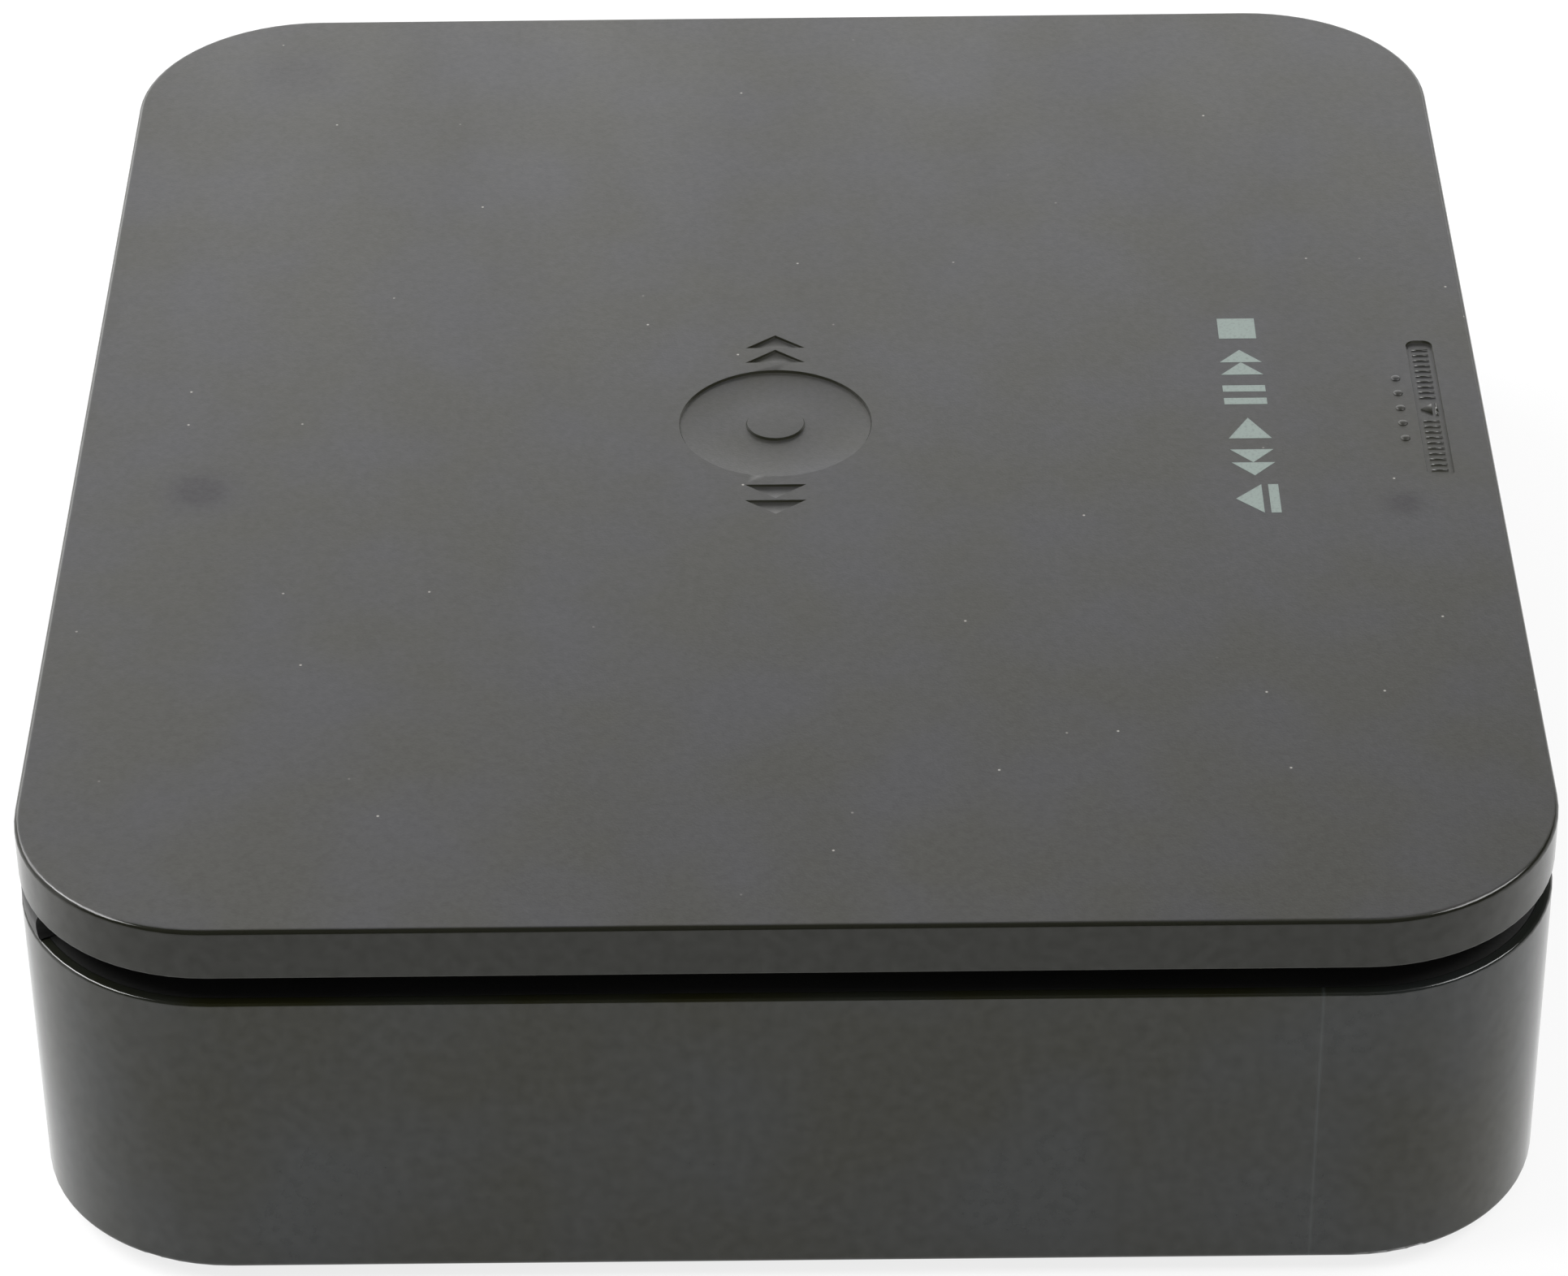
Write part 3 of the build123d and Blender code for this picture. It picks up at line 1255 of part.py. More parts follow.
# Main board, with the ribbon's plug soldered on
with BuildPart() as main_board:
    block((board_left + board_right) / 2, (board_front + board_rear) / 2, board_z,
          board_right - board_left, board_rear - board_front, board_thickness)
    for x, y in board_posts_at:
        column(x, y, board_z, small_shank_radius + slip_gap, board_thickness, mode=Mode.SUBTRACT)
    block(ribbon_board_x, ribbon_y, board_top_z, ribbon_plug_depth, ribbon_width + 2 * ribbon_thickness,
          ribbon_plug_height)
main_board.part.label = "main_board"
export_step(main_board.part, "parts/main_board.step")

# Chips on the main board
decoder_size = 20.0
memory_length = 22.0
memory_width = 10.0
driver_length = 16.0
driver_width = 8.0
amplifier_length = 6.0
amplifier_width = 5.0
chip_height = 1.6
decoder_share = (-0.11, 0.12)
memory_share = (-0.11, -0.04)
driver_share = (0.16, -0.15)
amplifier_share = (0.08, 0.28)

with BuildPart() as board_chips:
    for (share_x, share_y), size_x, size_y in (
        (decoder_share, decoder_size, decoder_size),
        (memory_share, memory_length, memory_width),
        (driver_share, driver_length, driver_width),
        (amplifier_share, amplifier_width, amplifier_length),
    ):
        block(share_x * (board_right - board_left), share_y * (board_rear - board_front), board_top_z,
              size_x, size_y, chip_height)
board_chips.part.label = "board_chips"
export_step(board_chips.part, "parts/board_chips.step")

# Capacitors: upright cans beside the power socket
can_radius = 4.0
can_height = 11.0
can_pitch = 10.0
can_inset_x = 14.0
can_inset_y = 26.0
can_x = board_right - can_inset_x
can_y = board_rear - can_inset_y

with BuildPart() as board_capacitors:
    with Locations((can_x, can_y, board_top_z)):
        with GridLocations(can_pitch, can_pitch, 2, 2):
            Cylinder(can_radius, can_height, align=UP)
    fillet(board_capacitors.faces().group_by(Axis.Z)[-1].edges(), radius=rim_edge_round)
board_capacitors.part.label = "board_capacitors"
export_step(board_capacitors.part, "parts/board_capacitors.step")

# Phono sockets: one black block with three plated sleeves, each round a coloured insert
phono_block_depth = 12.0
phono_sleeve_wall = 0.5
phono_sleeve_length = bay_depth - board_gap
phono_insert_recess = 1.0
phono_pin_radius = 1.7
phono_root = 2.0
phono_root_radius = phono_radius - 2 * seam_gap
phono_block_margin = 13.0
phono_block_width = phono_spacing * 2 + phono_block_margin
phono_block_height = 2 * phono_rise

with BuildPart() as phono_block:
    block(phono_places[1], bay_inner_y - phono_block_depth / 2, board_top_z,
          phono_block_width, phono_block_depth, phono_block_height)
    for x in phono_places:
        rod_along(facing_front(x, bay_inner_y, phono_z), phono_root_radius + thread_gap, phono_root,
                  mode=Mode.SUBTRACT)
phono_block.part.label = "phono_block"
export_step(phono_block.part, "parts/phono_block.step")

with BuildPart() as phono_sleeves:
    for x in phono_places:
        sleeve_plane = facing_front(x, bay_wall_y + phono_sleeve_length, phono_z)
        rod_along(sleeve_plane, phono_radius, phono_sleeve_length - free_gap)
        rod_along(sleeve_plane, phono_root_radius, phono_sleeve_length + bay_wall + phono_root)
        rod_along(sleeve_plane, phono_radius - phono_sleeve_wall,
                  phono_sleeve_length + bay_wall + phono_root, mode=Mode.SUBTRACT)
phono_sleeves.part.label = "phono_sleeves"
export_step(phono_sleeves.part, "parts/phono_sleeves.step")

for x, name in zip(phono_places, ("phono_insert_yellow", "phono_insert_white", "phono_insert_red")):
    with BuildPart() as phono_insert:
        insert_plane = facing_front(x, bay_wall_y + phono_sleeve_length - phono_insert_recess, phono_z)
        rod_along(insert_plane, phono_radius - phono_sleeve_wall - thread_gap,
                  phono_sleeve_length - phono_insert_recess + bay_wall + phono_root)
        rod_along(insert_plane, phono_pin_radius, phono_sleeve_length - phono_insert_recess, mode=Mode.SUBTRACT)
    phono_insert.part.label = name
    export_step(phono_insert.part, f"parts/{name}.step")

# Video socket: a folded shell with tapered lower corners, around a thin tongue
video_wall = 0.4
video_length = 11.0
video_leg_share = 0.8
video_proud = 1.0
video_taper = 1.6
tongue_height = 1.0
tongue_width = 10.0
tongue_recess = 1.5

with BuildPart() as video_socket:
    for inset, length, mode in ((0, video_length, Mode.ADD),
                                (video_wall, video_length - video_wall, Mode.SUBTRACT)):
        half = video_width / 2 - inset
        low = video_z - video_height / 2 + inset
        high = video_z + video_height / 2 - inset
        with BuildSketch(facing_front(0, bay_wall_y + video_proud, 0)):
            with BuildLine():
                Polyline(
                    (video_x - half, high),
                    (video_x + half, high),
                    (video_x + half, low + video_taper),
                    (video_x + half - video_taper, low),
                    (video_x - half + video_taper, low),
                    (video_x - half, low + video_taper),
                    close=True,
                )
            make_face()
        extrude(amount=length, mode=mode)
    block(video_x, bay_wall_y + video_proud - (video_length + tongue_recess) / 2, video_z - tongue_height / 2,
          tongue_width, video_length - tongue_recess, tongue_height)
    for side in (-1, 1):
        block(video_x + side * (video_width / 2 - video_taper),
              bay_wall_y + video_proud - video_leg_share * video_length,
              board_top_z, video_taper, video_taper, video_lift)
video_socket.part.label = "video_socket"
export_step(video_socket.part, "parts/video_socket.step")

# Power inlet: a square body with a round hole and its pin
power_depth = 13.0
power_bore_radius = 3.1
power_bore_depth = 9.0
power_pin_radius = 1.0

with BuildPart() as power_socket:
    block(power_x, bay_wall_y - power_depth / 2, board_top_z, power_width, power_depth, power_height)
    rod_along(facing_front(power_x, bay_wall_y, power_z), power_bore_radius, power_bore_depth,
              mode=Mode.SUBTRACT)
    rod_along(facing_front(power_x, bay_wall_y - power_pin_radius, power_z), power_pin_radius, power_bore_depth)
power_socket.part.label = "power_socket"
export_step(power_socket.part, "parts/power_socket.step")

# Media socket in the front wall: a plated shell with a tongue
media_length = 17.0
media_recess = 0.4
media_wall = 0.4
media_tongue_height = 1.8
media_tongue_width = 11.0
media_front_y = -half_depth + media_recess

with BuildPart() as media_socket:
    block(media_x, media_front_y + media_length / 2, board_top_z, media_width, media_length, media_height)
    block(media_x, media_front_y + (media_length - media_wall) / 2, board_top_z + media_wall,
          media_width - 2 * media_wall, media_length - media_wall, media_height - 2 * media_wall,
          mode=Mode.SUBTRACT)
    block(media_x, media_front_y + media_length - (media_length - media_tongue_height) / 2,
          media_z + media_wall / 2, media_tongue_width, media_length - media_tongue_height, media_tongue_height)
media_socket.part.label = "media_socket"
export_step(media_socket.part, "parts/media_socket.step")

# Front board, upright in the case's guides behind the buttons
with BuildPart() as front_board:
    block((front_board_left + front_board_right) / 2, front_board_y + front_board_thickness / 2, front_board_z,
          front_board_right - front_board_left, front_board_thickness, front_board_height)
front_board.part.label = "front_board"
export_step(front_board.part, "parts/front_board.step")

# Tact switches behind the buttons
tact_size = 6.0
tact_depth = 2.3
tact_button_radius = 1.6
tact_button_depth = 0.3

with BuildPart() as tact_switches:
    for x in button_places:
        block(x, front_board_y - tact_depth / 2, button_z - tact_size / 2, tact_size, tact_depth, tact_size)
        rod_along(facing_front(x, front_board_y - tact_depth, button_z), tact_button_radius, tact_button_depth)
tact_switches.part.label = "tact_switches"
export_step(tact_switches.part, "parts/tact_switches.step")

# Remote receiver and status lamp on the front board, behind the window
receiver_width = 6.0
receiver_height = 7.0
receiver_depth = 2.4
lamp_radius = 1.5
lamp_shift = 5.4
receiver_shift = -2.0
receiver_drop = 1.0
receiver_z = button_z - receiver_drop

with BuildPart() as remote_receiver:
    block(window_x + receiver_shift, front_board_y - receiver_depth / 2, receiver_z - receiver_height / 2,
          receiver_width, receiver_depth, receiver_height)
    rod_along(facing_front(window_x + lamp_shift, front_board_y, button_z), lamp_radius, receiver_depth)
remote_receiver.part.label = "remote_receiver"
export_step(remote_receiver.part, "parts/remote_receiver.step")

# Status window: the dark clear plate in front of the receiver, flanged behind the wall
window_recess = 0.1
flange_thickness = 0.7
flange_reach = 1.0
flange_gap = 0.2

with BuildPart() as status_window:
    with BuildSketch(facing_front(0, -half_depth + case_wall, 0)):
        with Locations((window_x, button_z)):
            RectangleRounded(window_width, window_height, window_round)
    extrude(amount=case_wall - window_recess)
    with BuildSketch(facing_front(0, -half_depth + case_wall + flange_thickness, 0)):
        with Locations((window_x, button_z)):
            RectangleRounded(window_width + 2 * flange_reach, window_height + 2 * flange_reach, window_round)
    extrude(amount=flange_thickness)
status_window.part.label = "status_window"
export_step(status_window.part, "parts/status_window.step")

# Front buttons: caps through the wall, each with a flange that keeps it in
button_recess = 0.2
button_flange_y = -half_depth + case_wall + flange_gap
button_edge_round = 0.4

for x, name in zip(button_places, ("standby_button", "play_button", "stop_button")):
    with BuildPart() as front_button:
        with BuildSketch(facing_front(0, button_flange_y, 0)):
            with Locations((x, button_z)):
                RectangleRounded(button_width, button_height, button_round)
        extrude(amount=case_wall + flange_gap - button_recess)
        fillet(front_button.faces().sort_by(Axis.Y)[0].edges(), radius=button_edge_round)
        with BuildSketch(facing_front(0, button_flange_y + flange_thickness, 0)):
            with Locations((x, button_z)):
                RectangleRounded(button_width + 2 * flange_reach, button_height + 2 * flange_reach,
                                 button_round)
        extrude(amount=flange_thickness)
    front_button.part.label = name
    export_step(front_button.part, f"parts/{name}.step")
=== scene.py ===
import math

import bmesh
import bpy
from mathutils import Matrix, Vector


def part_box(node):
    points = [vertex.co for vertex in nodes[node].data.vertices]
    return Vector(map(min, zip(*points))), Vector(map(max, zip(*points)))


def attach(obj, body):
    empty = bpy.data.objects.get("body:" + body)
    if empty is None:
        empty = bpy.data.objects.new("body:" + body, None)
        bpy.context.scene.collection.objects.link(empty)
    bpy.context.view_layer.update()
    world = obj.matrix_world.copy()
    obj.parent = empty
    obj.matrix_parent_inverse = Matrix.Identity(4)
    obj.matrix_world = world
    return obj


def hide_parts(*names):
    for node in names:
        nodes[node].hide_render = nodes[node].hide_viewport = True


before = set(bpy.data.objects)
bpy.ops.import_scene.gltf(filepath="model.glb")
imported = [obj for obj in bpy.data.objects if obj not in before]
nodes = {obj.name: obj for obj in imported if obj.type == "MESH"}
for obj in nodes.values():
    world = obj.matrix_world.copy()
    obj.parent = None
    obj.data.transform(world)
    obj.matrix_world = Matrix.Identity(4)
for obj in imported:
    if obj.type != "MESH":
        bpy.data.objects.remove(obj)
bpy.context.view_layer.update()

# The camera stands at the player's left side, a little over half a metre off, and looks down
# on the lid with a long lens. The player's front is to the right of the picture.
camera_place = Vector((-0.56995, -0.00215, 0.42444))
camera_ahead = Vector((0.81364, 0.0035, -0.58136)).normalized()
camera_right = Vector((0.0043, -1.0, 0.0)).normalized()
camera_up = camera_right.cross(camera_ahead)
camera_roll = 0.0125
rolled_right = math.cos(camera_roll) * camera_right - math.sin(camera_roll) * camera_up
rolled_up = math.cos(camera_roll) * camera_up + math.sin(camera_roll) * camera_right
lens_data = bpy.data.cameras.new("photo_camera")
lens_data.sensor_width = 36.0
lens_data.lens = 129.08
lens_data.clip_start = 0.01
lens_data.clip_end = 50.0
camera = bpy.data.objects.new("photo_camera", lens_data)
turn = Matrix((rolled_right, rolled_up, -camera_ahead)).transposed()
camera.matrix_world = Matrix.Translation(camera_place) @ turn.to_4x4()
bpy.context.scene.collection.objects.link(camera)
bpy.context.scene.camera = camera
bpy.context.scene.view_settings.view_transform = "Standard"


# The table is a plain white sheet that keeps the player's soft shadow. A white tent stands behind
# it, open to a dark room overhead and at the camera's side, with a pale slit at the very top. A
# long soft lamp stands low at the far side, and three hang higher: over the player's back, over
# its front and over the far rear corner.
def joined_by(tree, operation, first, second):
    """The result of a Math node, from two sockets or a socket and a number."""
    made = tree.nodes.new("ShaderNodeMath")
    made.operation = operation
    tree.links.new(first, made.inputs[0])
    if isinstance(second, float):
        made.inputs[1].default_value = second
    else:
        tree.links.new(second, made.inputs[1])
    return made.outputs["Value"]


def seen_rays(tree):
    """1 on rays from the camera and in reflections and clear parts, 0 on rays that only light."""
    ray = tree.nodes.new("ShaderNodeLightPath")
    seen = joined_by(tree, "MAXIMUM", ray.outputs["Is Camera Ray"], ray.outputs["Is Glossy Ray"])
    return joined_by(tree, "MAXIMUM", seen, ray.outputs["Is Transmission Ray"])


floor_reach = 3.0
floor_mesh = bpy.data.meshes.new("white_table")
floor_corners = [(-1, -1), (1, -1), (1, 1), (-1, 1)]
floor_points = [(x * floor_reach, y * floor_reach, 0.0) for x, y in floor_corners]
floor_mesh.from_pydata(floor_points, [], [(0, 1, 2, 3)])
floor = bpy.data.objects.new("white_table", floor_mesh)
bpy.context.scene.collection.objects.link(floor)
paper = bpy.data.materials.new("white_paper")
paper.use_nodes = True
paper_shader = paper.node_tree.nodes["Principled BSDF"]
paper_shader.inputs["Base Color"].default_value = (0.93, 0.93, 0.93, 1.0)
paper_shader.inputs["Roughness"].default_value = 0.9
paper_shader.inputs["Specular IOR Level"].default_value = 0.1
paper_glow = paper.node_tree.nodes.new("ShaderNodeEmission")
paper_glow.inputs["Strength"].default_value = 1.0
paper_share = joined_by(paper.node_tree, "MULTIPLY", seen_rays(paper.node_tree), 0.8)
paper_mix = paper.node_tree.nodes.new("ShaderNodeMixShader")
paper.node_tree.links.new(paper_share, paper_mix.inputs["Fac"])
paper.node_tree.links.new(paper_shader.outputs["BSDF"], paper_mix.inputs[1])
paper.node_tree.links.new(paper_glow.outputs["Emission"], paper_mix.inputs[2])
paper_out = paper.node_tree.nodes["Material Output"]
paper.node_tree.links.new(paper_mix.outputs["Shader"], paper_out.inputs["Surface"])
floor_mesh.materials.append(paper)

tent = bpy.data.worlds.new("white_tent")
tent.use_nodes = True
bpy.context.scene.world = tent
tent_nodes = tent.node_tree.nodes
tent_links = tent.node_tree.links
tent_nodes.clear()


def tent_wall(strength):
    """White tent cloth of that brightness."""
    wall = tent_nodes.new("ShaderNodeBackground")
    wall.inputs["Color"].default_value = (1.0, 1.0, 1.0, 1.0)
    wall.inputs["Strength"].default_value = strength
    return wall.outputs["Background"]


def tent_mix(share, first, second):
    """The second in place of the first, where the share is 1."""
    mix = tent_nodes.new("ShaderNodeMixShader")
    tent_links.new(share, mix.inputs["Fac"])
    tent_links.new(first, mix.inputs[1])
    tent_links.new(second, mix.inputs[2])
    return mix.outputs["Shader"]


def tent_fade(value, start, stop):
    """Fades from 0 to 1 as the value goes from start to stop."""
    fade = tent_nodes.new("ShaderNodeMapRange")
    fade.interpolation_type = "SMOOTHSTEP"
    fade.inputs["From Min"].default_value = start
    fade.inputs["From Max"].default_value = stop
    tent_links.new(value, fade.inputs["Value"])
    return fade.outputs["Result"]


dark_room = 0.05
room_light = 0.45
slit_light = 0.9
tent_way = tent_nodes.new("ShaderNodeSeparateXYZ")
tent_coordinates = tent_nodes.new("ShaderNodeTexCoord")
tent_links.new(tent_coordinates.outputs["Generated"], tent_way.inputs["Vector"])
tent_ray = tent_nodes.new("ShaderNodeLightPath")
slit_share = tent_fade(tent_way.outputs["Y"], -0.03, -0.14)
tent_slit = tent_mix(slit_share, tent_wall(dark_room), tent_wall(slit_light))
peak_share = tent_fade(tent_way.outputs["Z"], 0.82, 0.92)
tent_peak = tent_mix(peak_share, tent_wall(dark_room), tent_slit)
tent_height = tent_nodes.new("ShaderNodeMath")
tent_height.operation = "MULTIPLY_ADD"
tent_height.inputs[1].default_value = -0.45
tent_links.new(tent_way.outputs["Y"], tent_height.inputs[0])
tent_links.new(tent_way.outputs["Z"], tent_height.inputs[2])
roof_share = tent_fade(tent_height.outputs["Value"], 0.52, 0.74)
tent_roof = tent_mix(roof_share, tent_wall(1.0), tent_peak)
open_share = tent_fade(tent_way.outputs["X"], 0.0, -0.4)
tent_open = tent_mix(open_share, tent_roof, tent_wall(dark_room))
tent_lit = tent_mix(tent_ray.outputs["Is Glossy Ray"], tent_wall(room_light), tent_open)
tent_clear = tent_mix(tent_ray.outputs["Is Transmission Ray"], tent_lit, tent_wall(1.0))
tent_seen = tent_mix(tent_ray.outputs["Is Camera Ray"], tent_clear, tent_wall(1.0))
tent_links.new(tent_seen, tent_nodes.new("ShaderNodeOutputWorld").inputs["Surface"])


lamp_aim = Vector((0.0, 0.0, 0.03))


def soft_lamp(name, place, size, power):
    """A rectangular soft lamp that faces the player."""
    lamp_data = bpy.data.lights.new(name, "AREA")
    lamp_data.shape = "RECTANGLE"
    lamp_data.size, lamp_data.size_y = size
    lamp_data.energy = power
    lamp = bpy.data.objects.new(name, lamp_data)
    direction = lamp_aim - Vector(place)
    lamp.rotation_mode = "QUATERNION"
    lamp.rotation_quaternion = direction.to_track_quat("-Z", "Y")
    lamp.location = place
    bpy.context.scene.collection.objects.link(lamp)


soft_lamp("far_lamp", (1.5, 0.2, 0.5), (2.2, 0.6), 10.0)
soft_lamp("rear_lamp", (0.55, 0.85, 0.85), (0.6, 0.7), 7.0)
soft_lamp("left_lamp", (0.0, 0.75, 0.9), (0.9, 0.3), 11.0)
soft_lamp("right_lamp", (-0.1, -0.75, 0.9), (0.8, 0.3), 8.0)


# The lower case is one deep tub of black ABS, moulded in a polished mould, so that its walls
# are glossy. The mould left a thin upright line on the left wall, and handling faint wipe marks.
def start_finish(name, colour, roughness, metallic=0.0):
    """A material with its tree, its shader, and the place on the piece."""
    finish = bpy.data.materials.new(name)
    finish.use_nodes = True
    tree = finish.node_tree
    shader = tree.nodes["Principled BSDF"]
    shader.inputs["Base Color"].default_value = (*colour, 1.0)
    shader.inputs["Roughness"].default_value = roughness
    shader.inputs["Metallic"].default_value = metallic
    place = tree.nodes.new("ShaderNodeTexCoord").outputs["Object"]
    return finish, tree, shader, place


def cloud(tree, place, size, detail=2.0, stretch=(1.0, 1.0, 1.0)):
    """Noise whose patches are about that size, in metres, stretched along an axis."""
    mapping = tree.nodes.new("ShaderNodeMapping")
    mapping.inputs["Scale"].default_value = [1.0 / part for part in stretch]
    tree.links.new(place, mapping.inputs["Vector"])
    noise = tree.nodes.new("ShaderNodeTexNoise")
    noise.inputs["Scale"].default_value = 1.0 / size
    noise.inputs["Detail"].default_value = detail
    tree.links.new(mapping.outputs["Vector"], noise.inputs["Vector"])
    return noise.outputs["Fac"]


def between(tree, value, low, high, start=0.3, stop=0.7):
    """The value's part from start to stop, spread from low to high."""
    spread = tree.nodes.new("ShaderNodeMapRange")
    spread.inputs["From Min"].default_value = start
    spread.inputs["From Max"].default_value = stop
    spread.inputs["To Min"].default_value = low
    spread.inputs["To Max"].default_value = high
    tree.links.new(value, spread.inputs["Value"])
    return spread.outputs["Result"]


def blend_colours(tree, value, first, second):
    """A colour between two, as the value goes from 0 to 1. Either may be a socket."""
    mix = tree.nodes.new("ShaderNodeMix")
    mix.data_type = "RGBA"
    tree.links.new(value, mix.inputs["Factor"])
    for socket, colour in ((mix.inputs[6], first), (mix.inputs[7], second)):
        if isinstance(colour, tuple):
            socket.default_value = (*colour, 1.0)
        else:
            tree.links.new(colour, socket)
    return mix.outputs[2]


def relief(tree, shader, height, depth, below=None):
    """Turns a height into relief of that depth, in metres, over the relief below it."""
    bump = tree.nodes.new("ShaderNodeBump")
    bump.inputs["Strength"].default_value = 1.0
    bump.inputs["Distance"].default_value = depth
    tree.links.new(height, bump.inputs["Height"])
    if below is not None:
        tree.links.new(below, bump.inputs["Normal"])
    tree.links.new(bump.outputs["Normal"], shader.inputs["Normal"])
    return bump.outputs["Normal"]


def moulded(name, colour, roughness, grain=0.0003, depth=0.000004, spread=0.15, gloss_spread=0.05):
    """Moulded plastic: a fine eroded grain, and slow flow marks in colour and gloss."""
    finish, tree, shader, place = start_finish(name, colour, roughness)
    darker = tuple(part * (1.0 - spread) for part in colour)
    lighter = tuple(part * (1.0 + spread) for part in colour)
    flow = between(tree, cloud(tree, place, 0.018, 3.0), 0.0, 1.0)
    tree.links.new(blend_colours(tree, flow, darker, lighter), shader.inputs["Base Color"])
    wipe = cloud(tree, place, 0.03, 4.0, (1.0, 3.0, 1.0))
    low, high = roughness - gloss_spread, roughness + gloss_spread
    tree.links.new(between(tree, wipe, low, high), shader.inputs["Roughness"])
    relief(tree, shader, cloud(tree, place, grain, 1.0), depth)
    return finish


def dress(finish, *names):
    """Gives the finish to the CAD nodes of those names."""
    for name in names:
        for slot in nodes[name].material_slots:
            slot.material = finish


def fades_from(tree, place, middle, reach):
    """1 at a spot of the piece, fading to 0 at a reach along each axis."""
    moved = tree.nodes.new("ShaderNodeVectorMath")
    moved.operation = "SUBTRACT"
    moved.inputs[1].default_value = middle
    tree.links.new(place, moved.inputs[0])
    shrunk = tree.nodes.new("ShaderNodeVectorMath")
    shrunk.operation = "DIVIDE"
    shrunk.inputs[1].default_value = reach
    tree.links.new(moved.outputs["Vector"], shrunk.inputs[0])
    ball = tree.nodes.new("ShaderNodeTexGradient")
    ball.gradient_type = "QUADRATIC_SPHERE"
    tree.links.new(shrunk.outputs["Vector"], ball.inputs["Vector"])
    return ball.outputs["Fac"]


witness_place = (-0.099, -0.0579, 0.02)
witness_reach = (0.01, 0.0004, 0.5)


def polished_case(name, olive, bluish, roughness):
    """Polished black plastic with slow patches of tint, partly smudge and partly painted reflection,
    wipe marks and a pale witness line.
    """
    finish, tree, shader, place = start_finish(name, olive, roughness)
    # The slow olive and bluish patches are partly smudges and partly a painted reflection of a
    # patchy floor.
    drift = between(tree, cloud(tree, place, 0.024, 3.0), 0.0, 1.0, 0.38, 0.66)
    tinted = blend_colours(tree, drift, olive, bluish)
    witness = fades_from(tree, place, witness_place, witness_reach)
    pale = tuple(part * 1.9 for part in bluish)
    tree.links.new(blend_colours(tree, witness, tinted, pale), shader.inputs["Base Color"])
    wipe = cloud(tree, place, 0.012, 4.0, (1.0, 1.0, 3.0))
    dulling = between(tree, wipe, roughness - 0.05, roughness + 0.07)
    tree.links.new(dulling, shader.inputs["Roughness"])
    shine = between(tree, cloud(tree, place, 0.0015, 6.0), 0.41, 0.53)
    tree.links.new(shine, shader.inputs["Specular IOR Level"])
    relief(tree, shader, cloud(tree, place, 0.0012, 1.0), 0.0000015)
    return finish


case_gloss = polished_case("case_gloss", (0.0105, 0.0106, 0.0040), (0.0140, 0.0160, 0.0152), 0.13)
dress(case_gloss, "lower_case")

# The lid is one moulding of the same ABS, with a fine satin grain on top and polished sides.
# Its top carries a sunk sign of a disc between skip marks, five raised touch dots, and a
# sunk strip with ribs and an open mark where the thumb pushes the lid to unlatch it.
lid_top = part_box("lid_shell")[1].z
strip_middle = (0.0009, -0.07835)
strip_size = (0.0298, 0.0031)
strip_corner = 0.0011
sunk_depth = 0.00035
sunk_draft = 0.0001
sign_draft = 0.0002
cut_above = 0.0002
rib_height = 0.00012
sign_middle = (-0.001, 0.001)
# Each finger mark's place, its reach and how dark it is.
finger_marks = (
    (-0.0147, 0.0697, 0.0068, 0.9),
    (-0.0198, -0.0734, 0.0045, 0.8),
    (0.0849, 0.0643, 0.009, 0.35),
)


def rounded_outline(middle, size, corner, steps):
    """The outline of a rectangle with round corners, anticlockwise."""
    points = []
    for quarter, (sx, sy) in enumerate(((1, 1), (-1, 1), (-1, -1), (1, -1))):
        cx = middle[0] + sx * (size[0] / 2 - corner)
        cy = middle[1] + sy * (size[1] / 2 - corner)
        for step in range(steps + 1):
            angle = (quarter + step / steps) * math.pi / 2
            points.append((cx + corner * math.cos(angle), cy + corner * math.sin(angle)))
    return points


def inset(points, distance):
    """A convex anticlockwise outline moved inwards by the distance."""
    moved = []
    count = len(points)
    for index in range(count):
        here = Vector(points[index])
        before = (here - Vector(points[index - 1])).normalized()
        after = (Vector(points[(index + 1) % count]) - here).normalized()
        inward = Vector((-before.y - after.y, before.x + after.x))
        half = inward.length / 2
        moved.append(tuple(here + inward.normalized() * distance / half))
    return moved


def plate(mesh, points, low, high, slope=0.0):
    """A closed plate on the outline, with side walls that lean in by the slope."""
    foot = [mesh.verts.new((x, y, low)) for x, y in points]
    head = [mesh.verts.new((x, y, high)) for x, y in (inset(points, slope) if slope else points)]
    mesh.faces.new(list(reversed(foot)))
    mesh.faces.new(head)
    for index in range(len(points)):
        following = (index + 1) % len(points)
        mesh.faces.new((foot[index], foot[following], head[following], head[index]))


def ring(mesh, middle, inner, outer, low, high, slope, steps=72):
    """A closed flat ring with leaning walls."""
    profile = ((inner, low), (inner + slope, high), (outer - slope, high), (outer, low))
    rows = []
    for step in range(steps):
        angle = 2 * math.pi * step / steps
        row = []
        for radius, z in profile:
            x = middle[0] + radius * math.cos(angle)
            y = middle[1] + radius * math.sin(angle)
            row.append(mesh.verts.new((x, y, z)))
        rows.append(row)
    for step in range(steps):
        here, following = rows[step], rows[(step + 1) % steps]
        for k in range(4):
            mesh.faces.new((here[k], here[(k + 1) % 4], following[(k + 1) % 4], following[k]))


def shape_object(name, mesh):
    """An object from a bmesh, with its faces turned outwards."""
    bmesh.ops.recalc_face_normals(mesh, faces=mesh.faces)
    data = bpy.data.meshes.new(name)
    mesh.to_mesh(data)
    mesh.free()
    made = bpy.data.objects.new(name, data)
    bpy.context.scene.collection.objects.link(made)
    return made


def applied(name, source):
    """A plain mesh object from what the source's modifiers make, which then goes."""
    bpy.context.view_layer.update()
    evaluated = source.evaluated_get(bpy.context.evaluated_depsgraph_get())
    data = bpy.data.meshes.new_from_object(evaluated)
    data.name = name
    bpy.data.objects.remove(source)
    made = bpy.data.objects.new(name, data)
    bpy.context.scene.collection.objects.link(made)
    return made


def joined_solid(body, tool, operation):
    """Adds a Boolean of the tool to the body."""
    carve = body.modifiers.new(operation.lower(), "BOOLEAN")
    carve.operation = operation
    carve.solver = "EXACT"
    carve.object = tool


